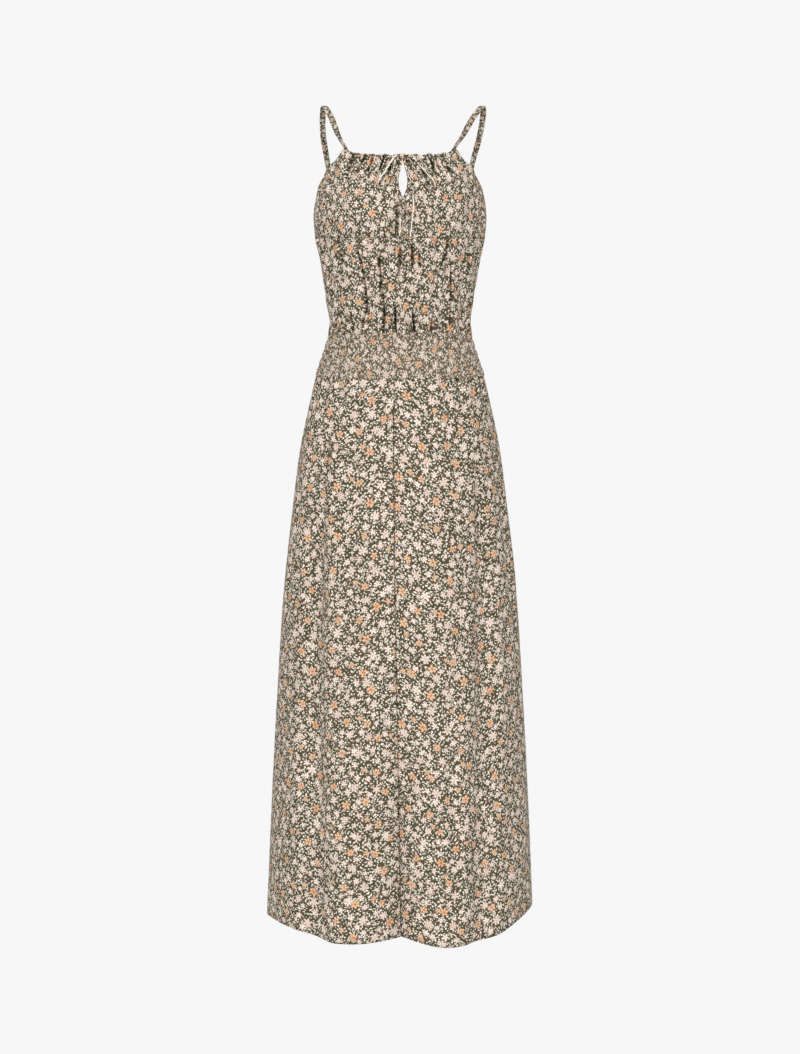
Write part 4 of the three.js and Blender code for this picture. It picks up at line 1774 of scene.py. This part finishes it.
@dataclass
class Midriff:
    """The front between the empire seam and the waist, gathered at both and blousing a little."""

    finishes: Finishes
    blouse: float = 6.0
    overhang: float = 3.2
    droop: float = 5.0
    gathers: Gathers = Gathers(18, 1.5, 34)
    top_puckers: Puckers = Puckers(56, -84, 84, 3.2, 0.6, 24, 61, 0.06)
    foot_puckers: Puckers = Puckers(60, -84, 84, 3.4, 0.6, 30, 67, 0.06)
    folds: Sequence[LongFold] = (
        LongFold(-62, -56, 8, 2.6),
        LongFold(-33, -23, 6, 5),
        LongFold(-13, -11, 5, 5),
        LongFold(-2, -3, 4.5, 4),
        LongFold(6, 8, 5, 4.5),
        LongFold(16, 17, 5, 3),
        LongFold(25, 28, 5.5, 3.6),
        LongFold(35, 37, 5.5, 4.6),
        LongFold(50, 58, 7, 3.2),
        LongFold(68, 70, 7, 2.4),
    )
    creases: Sequence[Crease] = (
        Crease(-31.5, -226, -29.0, -262, 1.15, 11.9),
        Crease(-29.2, -248, -26.3, -300, 1.1, 13.6),
        Crease(-26.4, -282, -27.0, -346, 1.1, 12.4),
        Crease(-27.0, -330, -31.6, -366, 1.2, 10.3),
        Crease(-14.9, -236, -13.8, -310, 1.05, 12.4),
        Crease(-13.6, -296, -12.2, -346, 1.05, 10.8),
        Crease(-12.4, -334, -13.6, -370, 1.1, 10.3, Ends.BOTTOM),
        Crease(0.6, -222, -1.4, -286, 1.1, 12.4),
        Crease(-4.4, -320, -3.4, -371, 1.1, 12.4, Ends.BOTTOM),
        Crease(8.4, -222, 8.8, -272, 1.1, 10.8),
        Crease(13.4, -238, 14.2, -268, 1.05, 9.0),
        Crease(9.6, -330, 11.6, -371, 1.1, 11.9, Ends.BOTTOM),
        Crease(34.0, -219, 34.2, -258, 1.15, 12.4, Ends.TOP),
        Crease(33.0, -240, 28.0, -284, 1.1, 9.0),
        Crease(38.6, -250, 41.0, -326, 1.1, 13.1),
        Crease(41.0, -306, 43.0, -362, 1.1, 11.3),
        Crease(26.2, -348, 26.0, -371, 1.1, 9.6, Ends.BOTTOM),
        Crease(55.5, -232, 57.5, -274, 1.7, 7.6),
        Crease(66.0, -276, 68.0, -340, 2.6, 4.8),
        Crease(-46.0, -222, -44.0, -262, 1.3, 6.8, Ends.TOP),
        Crease(-56.0, -320, -54.0, -371, 2, 7.4, Ends.BOTTOM),
        Crease(-42.0, -336, -40.0, -371, 1.2, 8.0, Ends.BOTTOM),
        Crease(-70.0, -222, -68.0, -280, 2.4, 5.1, Ends.TOP),
    )

    def build(self) -> Panel:
        """Makes the midriff.

        Returns:
            The panel.
        """
        panel = Panel(
            name="midriff_front",
            first=level(-SIDE),
            last=level(SIDE),
            bottom=lambda angle: hanging_edge(WAIST_TOP_Z, self.droop, angle),
            top=level(EMPIRE_Z),
            lift=self.lift,
            columns=780,
            rows=57,
            flat=(400.0, 158.0),
            held=Held.GATHERED,
            rests_on=["bodice_front_left", "bodice_front_right", "waistband_front"],
            fullness=1.15,
            print_start=(930.0, 90.0),
        )
        panel.build(self.finishes.cloth)
        return panel

    def lift(self, angle: Array, z: Array) -> Array:
        """The midriff's lift: a swell, waves and furrows at both seams, long folds and sharp creases.

        Args:
            angle: Angles on the ring.
            z: Heights.

        Returns:
            The lift.
        """
        down = np.clip((EMPIRE_Z - z) / (EMPIRE_Z - WAIST_TOP_Z), 0.0, 1.0)
        below = EMPIRE_Z - z
        above = z - WAIST_TOP_Z
        at_seams = self.gathers.fade(below) + self.gathers.fade(above)
        lift = self.blouse * np.sin(np.pi * down**1.4) + self.gathers.lift(angle) * at_seams
        for fold in self.folds:
            lift -= fold.depth * crease(angle - blend(fold.top_angle, fold.foot_angle, down), fold.width)
        lift += self.top_puckers.lift(angle, below) + self.foot_puckers.lift(angle, above)
        lift += self.overhang * ease(12.0, 1.0, above) + creases_lift(self.creases, angle, z)
        lift += unevenness(angle, z, depth=0.8, across=20, along=80, seed=71)
        seam = from_sides(angle, 10.0) * EMPIRE_PUCKERS.lift(angle, np.zeros_like(z))
        lift = blend(seam, from_sides(angle, 18.0) * lift, ease(0.0, SEAM_EASE, below))
        return lift - SEAM_DIP * crease(below, SEAM_EASE / 2)


@dataclass
class Waistband:
    """The shirred waist: rows of elastic thread that squeeze the cloth into small puffs, front and back."""

    finishes: Finishes
    rows: int = 5
    puff: float = 1.5
    gathers: Gathers = Gathers(20, 0.9, 1)
    fine_gathers: Gathers = Gathers(43, 0.75, 1)
    fullness: float = 1.25
    droop: float = 3.0

    def build(self) -> list[Panel]:
        """Makes the front and the back.

        Returns:
            The panels.
        """
        panels = [
            Panel(
                name="waistband_front" if front else "waistband_back",
                first=level(-SIDE if front else SIDE),
                last=level(SIDE if front else TURN - SIDE),
                bottom=lambda angle: hanging_edge(WAIST_BOTTOM_Z, self.droop, angle),
                top=level(WAIST_TOP_Z),
                lift=self.lift,
                columns=420,
                rows=51,
                flat=(356.0, 82.0),
                held=Held.GATHERED,
                rests_on=["midriff_front" if front else "bodice_back"],
                fullness=self.fullness,
                print_start=(250.0, 700.0) if front else (1100.0, 560.0),
            )
            for front in (True, False)
        ]
        for panel in panels:
            panel.build([self.finishes.shirred, self.finishes.reverse])
        return panels

    def elastic_rows(self) -> Array:
        """The heights of the rows of elastic thread."""
        return np.linspace(WAIST_TOP_Z, WAIST_BOTTOM_Z, self.rows + 1)[1:-1]

    def lift(self, angle: Array, z: Array) -> Array:
        """The waist's lift: a puff between each two rows, and small gathers that shift from row to row.

        Args:
            angle: Angles on the ring.
            z: Heights.

        Returns:
            The lift.
        """
        down = (WAIST_TOP_Z - z) / (WAIST_TOP_Z - WAIST_BOTTOM_Z)
        puff = np.abs(np.sin(np.pi * self.rows * np.minimum(down, 1.0 - 0.5 / self.rows))) ** 0.8
        inner = from_sides(angle, 6.0)
        row = np.floor(self.rows * down)
        shifted = angle + 1.1 * np.sin(2.4 * row + 0.15 * angle)
        waves = self.gathers.lift(angle) + self.fine_gathers.lift(shifted)
        lift = self.puff * puff + inner * waves * (0.35 + 0.65 * puff)
        return lift + inner * unevenness(angle, z, depth=0.35, across=9, along=30, seed=83)


class SkirtFold(NamedTuple):
    """A hanging fold: its angles at top and hem, half width, where it starts and is full, and its depths."""

    top: float
    hem: float
    width: float
    start_z: float
    full_z: float
    depth: float
    hem_depth: float


@dataclass
class Skirt:
    """The long skirt: two front halves that draw in along their centre seam, and the back."""

    finishes: Finishes
    gathers: Gathers = Gathers(14, 2.2, 120)
    seam_fold_width: float = 22.0
    seam_fold_start: float = -760.0
    seam_fold_depth: float = 50.0
    seam_groove_depth: float = 2.4
    seam_groove_width: float = 0.8
    seam_eased: float = 60.0
    seam_fade: tuple[float, float] = (-860.0, -1100.0)
    seam_left: float = 0.2
    puckers: Puckers = Puckers(110, -178, 538, 2.6, 0.7, 44, 91, 0.03)
    long_puckers: Puckers = Puckers(46, -176, 536, 1.9, 1.9, 190, 97, 0.015)
    folds: Sequence[SkirtFold] = (
        SkirtFold(-52, -39, 12, -500, -860, 17, 13),
        SkirtFold(53, 37, 12, -520, -900, 16, 13),
        SkirtFold(104, 108, 14, -540, -1000, 12, 18),
        SkirtFold(138, 143, 15, -520, -1050, 15, 24),
        SkirtFold(178, 176, 16, -500, -1000, 17, 27),
        SkirtFold(216, 212, 15, -540, -1050, 14, 23),
        SkirtFold(253, 250, 14, -520, -1000, 12, 17),
    )
    creases: Sequence[Crease] = (
        Crease(-47, -520, -45, -760, 3.4, 3.2),
        Crease(49, -540, 46, -800, 3.4, 3.0),
        Crease(-28, -470, -26, -640, 2.6, 1.8),
        Crease(25, -480, 22, -690, 2.6, 1.8),
        Crease(-70, -560, -72, -980, 4.0, 3.0),
        Crease(71, -600, 73, -1040, 4.0, 3.0),
        Crease(-20, -980, -22, -1340, 3.6, 3.0),
        Crease(23, -1020, 24, -1350, 3.6, 3.0),
        Crease(122, -560, 125, -900, 3.4, 3.0),
        Crease(158, -520, 160, -860, 3.2, 3.0),
        Crease(197, -600, 194, -1000, 3.4, 3.2),
        Crease(234, -540, 232, -880, 3.4, 3.0),
    )

    def build(self) -> list[Panel]:
        """Makes the two front halves and the back.

        Returns:
            The panels.
        """
        shared = {
            "bottom": hem_edge,
            "top": level(WAIST_BOTTOM_Z),
            "lift": self.lift,
            "rows": 136,
            "held": Held.HUNG,
            "crowding": 1.35,
            "follows_folds": True,
        }
        front = {"columns": 140, "flat": (336.0, 946.0), "share": 0.8, "rests_on": ["waistband_front"]}
        back = {"columns": 210, "flat": (660.0, 950.0), "share": 0.82, "rests_on": ["waistband_back"]}
        left_side, right_side, far_side = level(SIDE), level(-SIDE), level(TURN - SIDE)
        panels = [
            Panel("skirt_front_left", skirt_seam, left_side, print_start=(0.0, 40.0), **front, **shared),
            Panel("skirt_front_right", right_side, skirt_seam, print_start=(520.0, 130.0), **front, **shared),
            Panel("skirt_back", left_side, far_side, print_start=(1400.0, 75.0), **back, **shared),
        ]
        for panel in panels:
            panel.build(self.finishes.cloth)
        return panels

    def lift(self, angle: Array, z: Array) -> Array:
        """The skirt's lift: gathers at the waist, the seam's fold, hanging folds, creases and the turned hem.

        Args:
            angle: Angles on the ring.
            z: Heights.

        Returns:
            The lift.
        """
        turn = signed(angle)
        below = WAIST_BOTTOM_Z - z
        inner = from_sides(angle, 10.0)
        round_turn = angle % TURN
        lift = inner * self.gathers.lift(angle) * self.gathers.fade(below)
        for puckers in (self.puckers, self.long_puckers):
            lift += 0.5 * inner * (puckers.lift(turn, below) + puckers.lift(round_turn, below))
        drawn = ease(self.seam_fold_start, HEM_Z, z)
        lift -= self.seam_fold_depth * drawn * crease(turn - skirt_seam(z), self.seam_fold_width)
        for fold in self.folds:
            away = signed(angle - blend(fold.top, fold.hem, skirt_down(z)))
            grown = ease(fold.start_z, fold.full_z, z)
            depth = blend(fold.depth, fold.hem_depth, ease(fold.full_z, HEM_Z, z))
            lift -= grown * depth * trough(away, fold.width)
        front = np.abs(turn) < 100
        lift += inner * creases_lift(self.creases, np.where(front, turn, round_turn), z)
        seam = ease(0.0, self.seam_eased, below) * blend(1.0, self.seam_left, ease(*self.seam_fade, z))
        groove = crease(turn - skirt_seam(z), self.seam_groove_width)
        lift -= self.seam_groove_depth * seam * groove
        lift += SKIRT_HEM.lift(z - hem_edge(angle))
        uneven = unevenness(angle, z, depth=1.1, across=34, along=340, seed=101)
        return lift + inner * uneven * ease(0.0, 160.0, below)


class StrapPoint(NamedTuple):
    """A place of the left strap, and how far both straps lean to the left there."""

    x: float
    y: float
    z: float
    lean: float


@dataclass
class Straps:
    """The two shoulder straps, sewn inside the neck corners and inside the back's top edge."""

    finishes: Finishes
    bodice: Bodice
    width: float = 10.0
    thickness: float = 2.4
    sewn_in: float = 10.0
    inside: float = 3.6
    length: float = 372.0
    armhole_turn: float = 74.0
    neck_twist: tuple[float, float] = (0.0, 0.035)
    front_twist: tuple[float, float] = (0.05, 0.27)
    back_twist: tuple[float, float] = (0.4, 0.7)
    corner_inset: float = 0.4
    foot_inset: float = 2.4
    route: Sequence[StrapPoint] = (
        StrapPoint(102, -42, -50, 1),
        StrapPoint(117, -24, -20, 3.5),
        StrapPoint(127.5, -7, -3.5, 5),
        StrapPoint(132.5, 8, 1.2, 5.5),
        StrapPoint(134.5, 23, -10, 5),
        StrapPoint(132, 38, -45, 2.5),
        StrapPoint(122, 54, -95, 0),
    )

    def build(self) -> None:
        """Makes both straps."""
        self.strap("strap_left", 1.0)
        self.strap("strap_right", -1.0)

    def sewn_place(self, angle: float, z: float) -> Array:
        """A place just inside the plain ring, where a strap is sewn to a panel."""
        x, y = ring(np.array(angle), np.array(z))
        out_x, out_y = outward(np.array(angle), np.array(z))
        return np.array([x - out_x * self.inside, y - out_y * self.inside, z], dtype=float)

    @staticmethod
    def along_panel(angle: float, z: float) -> Array:
        """The level direction along a panel, pointing to the left."""
        out_x, out_y = (float(part) for part in outward(np.array(angle), np.array(z)))
        return np.array([abs(out_y), -out_x * math.copysign(1.0, out_y), 0.0])

    def strap(self, name: str, side: float) -> None:
        """Makes one strap: a soft flat band with a welt along its sewn edges, carried over the shoulder.

        Args:
            name: The strap's node.
            side: 1 for the left, -1 for the right.
        """
        back_angle = self.bodice.strap_angle if side > 0 else TURN - self.bodice.strap_angle
        neck = float(top_edge(np.array(NECK_CORNER)))
        back = float(back_edge(np.array(back_angle)))
        over = [np.array([side * spot.x + spot.lean, spot.y, spot.z], dtype=float) for spot in self.route]
        route = np.stack(
            [
                self.sewn_place(side * (NECK_CORNER - self.foot_inset), neck - self.sewn_in),
                self.sewn_place(side * (NECK_CORNER - self.corner_inset), neck),
                *over,
                self.sewn_place(back_angle, back),
                self.sewn_place(back_angle, back - self.sewn_in),
            ]
        )
        path = smooth_route(route, 170)
        run = np.linspace(0.0, 1.0, len(path))[:, None]
        straight = np.array([[1.0, 0.0, 0.0]])
        sewn = self.along_panel(side * NECK_CORNER, neck)
        turned = blend(sewn, self.along_panel(side * self.armhole_turn, neck), ease(*self.neck_twist, run))
        front = blend(turned, straight, ease(*self.front_twist, run))
        rear = blend(straight, self.along_panel(back_angle, back), ease(*self.back_twist, run))
        sideways = np.where(run < self.back_twist[0], front, rear)
        turn = np.linspace(0.0, 2 * np.pi, 28, endpoint=False)[None, :]
        across = np.sign(np.cos(turn)) * np.abs(np.cos(turn)) ** 0.6
        deep = np.sign(np.sin(turn)) * np.abs(np.sin(turn)) ** 0.7
        ripple = 0.05 * np.sin(70 * run + 3 * across)
        welt = 1.0 - 0.28 * np.exp(-(((np.abs(across) - 0.72) / 0.1) ** 2)) + ripple
        easing = 1.0 + 0.02 * np.sin(23 * run)
        profile = np.stack([across * easing * self.width / 2, deep * welt * self.thickness / 2], axis=-1)
        piece = carried_profile(name + "_band", path, profile, sideways, [self.finishes.strap])
        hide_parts(name)
        carriers = ["bodice_front_left" if side > 0 else "bodice_front_right", "bodice_back"]


class StitchLine(NamedTuple):
    """A line to be stitched: the panel that it lies on, and the angles and heights of its points."""

    panel: Panel
    angle: Array
    z: Array

    @staticmethod
    def along(panel: Panel, first: float, last: float, count: int, height: Line) -> "StitchLine":
        """A line of so many points from one angle to another, at the height that each angle has."""
        angle = np.linspace(first, last, count)
        return StitchLine(panel, angle, height(angle))


@dataclass
class Stitching:
    """Rows of small machine stitches along the casing, the armholes, the shirring and the hem."""

    finishes: Finishes
    pitch: float = 3.0
    stitch: float = 2.1
    thickness: float = 0.45
    proud: float = 0.08
    look_ahead: float = 0.2
    centre_clear: float = 1.2
    corner_clear: float = 3.0
    binding_clear: float = 2.0
    side_clear: float = 0.5
    hem_clear: float = 0.3
    hem_centre_clear: float = 0.4

    def rows(self, name: str, lines: Sequence[StitchLine]) -> None:
        """Makes one piece of stitching from lines on panels.

        Args:
            name: The piece's name.
            lines: The lines.
        """
        points = np.concatenate([self.stitches(*line) for line in lines])
        count, rings, sides = points.shape[:3]
        one = grid_faces(rings, sides, wrap=True)
        quads = (one[None] + (np.arange(count) * rings * sides)[:, None, None]).reshape(-1, 4)
        piece = make_mesh(name, points.reshape(-1, 3), quads.astype(np.int32), None, [self.finishes.thread])

    def stitches(self, panel: Panel, angle: Array, z: Array) -> Array:
        """Places even stitches along a line: each is a spindle that lies along it on the cloth.

        Args:
            panel: The cloth.
            angle: The angles of the line's points.
            z: Their heights.

        Returns:
            The spindles' points: stitch, ring, side and place.
        """
        run = steps_along(panel.surface(angle, z), 0)
        middles = np.arange(self.pitch / 2, run[-1], self.pitch)
        angle_at, z_at = np.interp(middles, run, angle), np.interp(middles, run, z)
        ahead = np.interp(middles + self.look_ahead, run, angle), np.interp(middles + self.look_ahead, run, z)
        normal = panel.normals(angle_at, z_at)
        here = panel.surface(angle_at, z_at)
        place = here + normal * self.proud
        along = unit(panel.surface(*ahead) - here + NEVER_ZERO)
        flat = unit(np.cross(normal, along))
        spans = np.array([-0.5, -0.3, 0.3, 0.5]) * self.stitch
        swell = np.array([0.02, 1.0, 1.0, 0.02]) * self.thickness / 2
        turn = np.linspace(0.0, 2 * np.pi, 5, endpoint=False)
        wide = swell[:, None] * np.cos(turn)
        high = swell[:, None] * np.sin(turn)
        stretch = along[:, None, None, :] * spans[None, :, None, None]
        width = flat[:, None, None, :] * wide[None, :, :, None]
        height = normal[:, None, None, :] * high[None, :, :, None]
        return place[:, None, None, :] + stretch + width + height

    def build(
        self, tops: Sequence[Panel], waist: Sequence[Panel], skirt: Sequence[Panel], shirring: Array
    ) -> None:
        """Makes every row of stitching, each ending just short of the seams.

        Args:
            tops: The bodice's front halves and back.
            waist: The waistband's front and back.
            skirt: The skirt's front halves and back.
            shirring: The heights of the rows of elastic thread.
        """
        left, right, back = tops
        casing = moved(top_edge, -CASING.stitched)
        binding = moved(top_edge, -ARMHOLE_BINDING.stitched)
        back_hem = moved(back_edge, -BACK_HEM.stitched)
        hem = moved(hem_edge, SKIRT_HEM.stitched)
        corner = NECK_CORNER - self.corner_clear
        neck = [
            StitchLine.along(left, BODICE_SEAM + self.centre_clear, corner, 400, casing),
            StitchLine.along(right, -corner, BODICE_SEAM - self.centre_clear, 400, casing),
        ]
        self.rows("neck_casing_stitching", neck)
        corner, side = NECK_CORNER + self.binding_clear, SIDE - self.side_clear
        rear = (SIDE + self.side_clear, TURN - SIDE - self.side_clear)
        edges = [
            StitchLine.along(left, corner, side, 400, binding),
            StitchLine.along(right, -side, -corner, 400, binding),
            StitchLine.along(back, *rear, 800, back_hem),
        ]
        self.rows("top_edge_stitching", edges)
        spans = tuple(zip(waist, ((-side, side), rear)))
        elastic = [StitchLine.along(panel, *span, 900, level(z)) for panel, span in spans for z in shirring]
        self.rows("shirring_stitching", elastic)
        side = SIDE - self.hem_clear
        spans = (
            (SKIRT_SEAM_HEM + self.hem_centre_clear, side),
            (-side, SKIRT_SEAM_HEM - self.hem_centre_clear),
            (SIDE + self.hem_clear, TURN - SIDE - self.hem_clear),
        )
        hems = [StitchLine.along(panel, *span, 700, hem) for panel, span in zip(skirt, spans)]
        self.rows("hem_stitching", hems)


def main() -> None:
    """Builds the scene: the studio, the tie, the panels, the straps and the stitching."""
    logging.basicConfig(level=logging.INFO, format="%(name)s: %(message)s")
    Studio().build()
    finishes = Finishes.make()
    NeckTie(finishes).build()
    bodice = Bodice(finishes)
    tops = bodice.build()
    Midriff(finishes).build()
    waistband = Waistband(finishes)
    waist = waistband.build()
    skirt = Skirt(finishes).build()
    Straps(finishes, bodice).build()
    Stitching(finishes).build(tops, waist, skirt, waistband.elastic_rows())


if __name__ == "__main__":
    main()
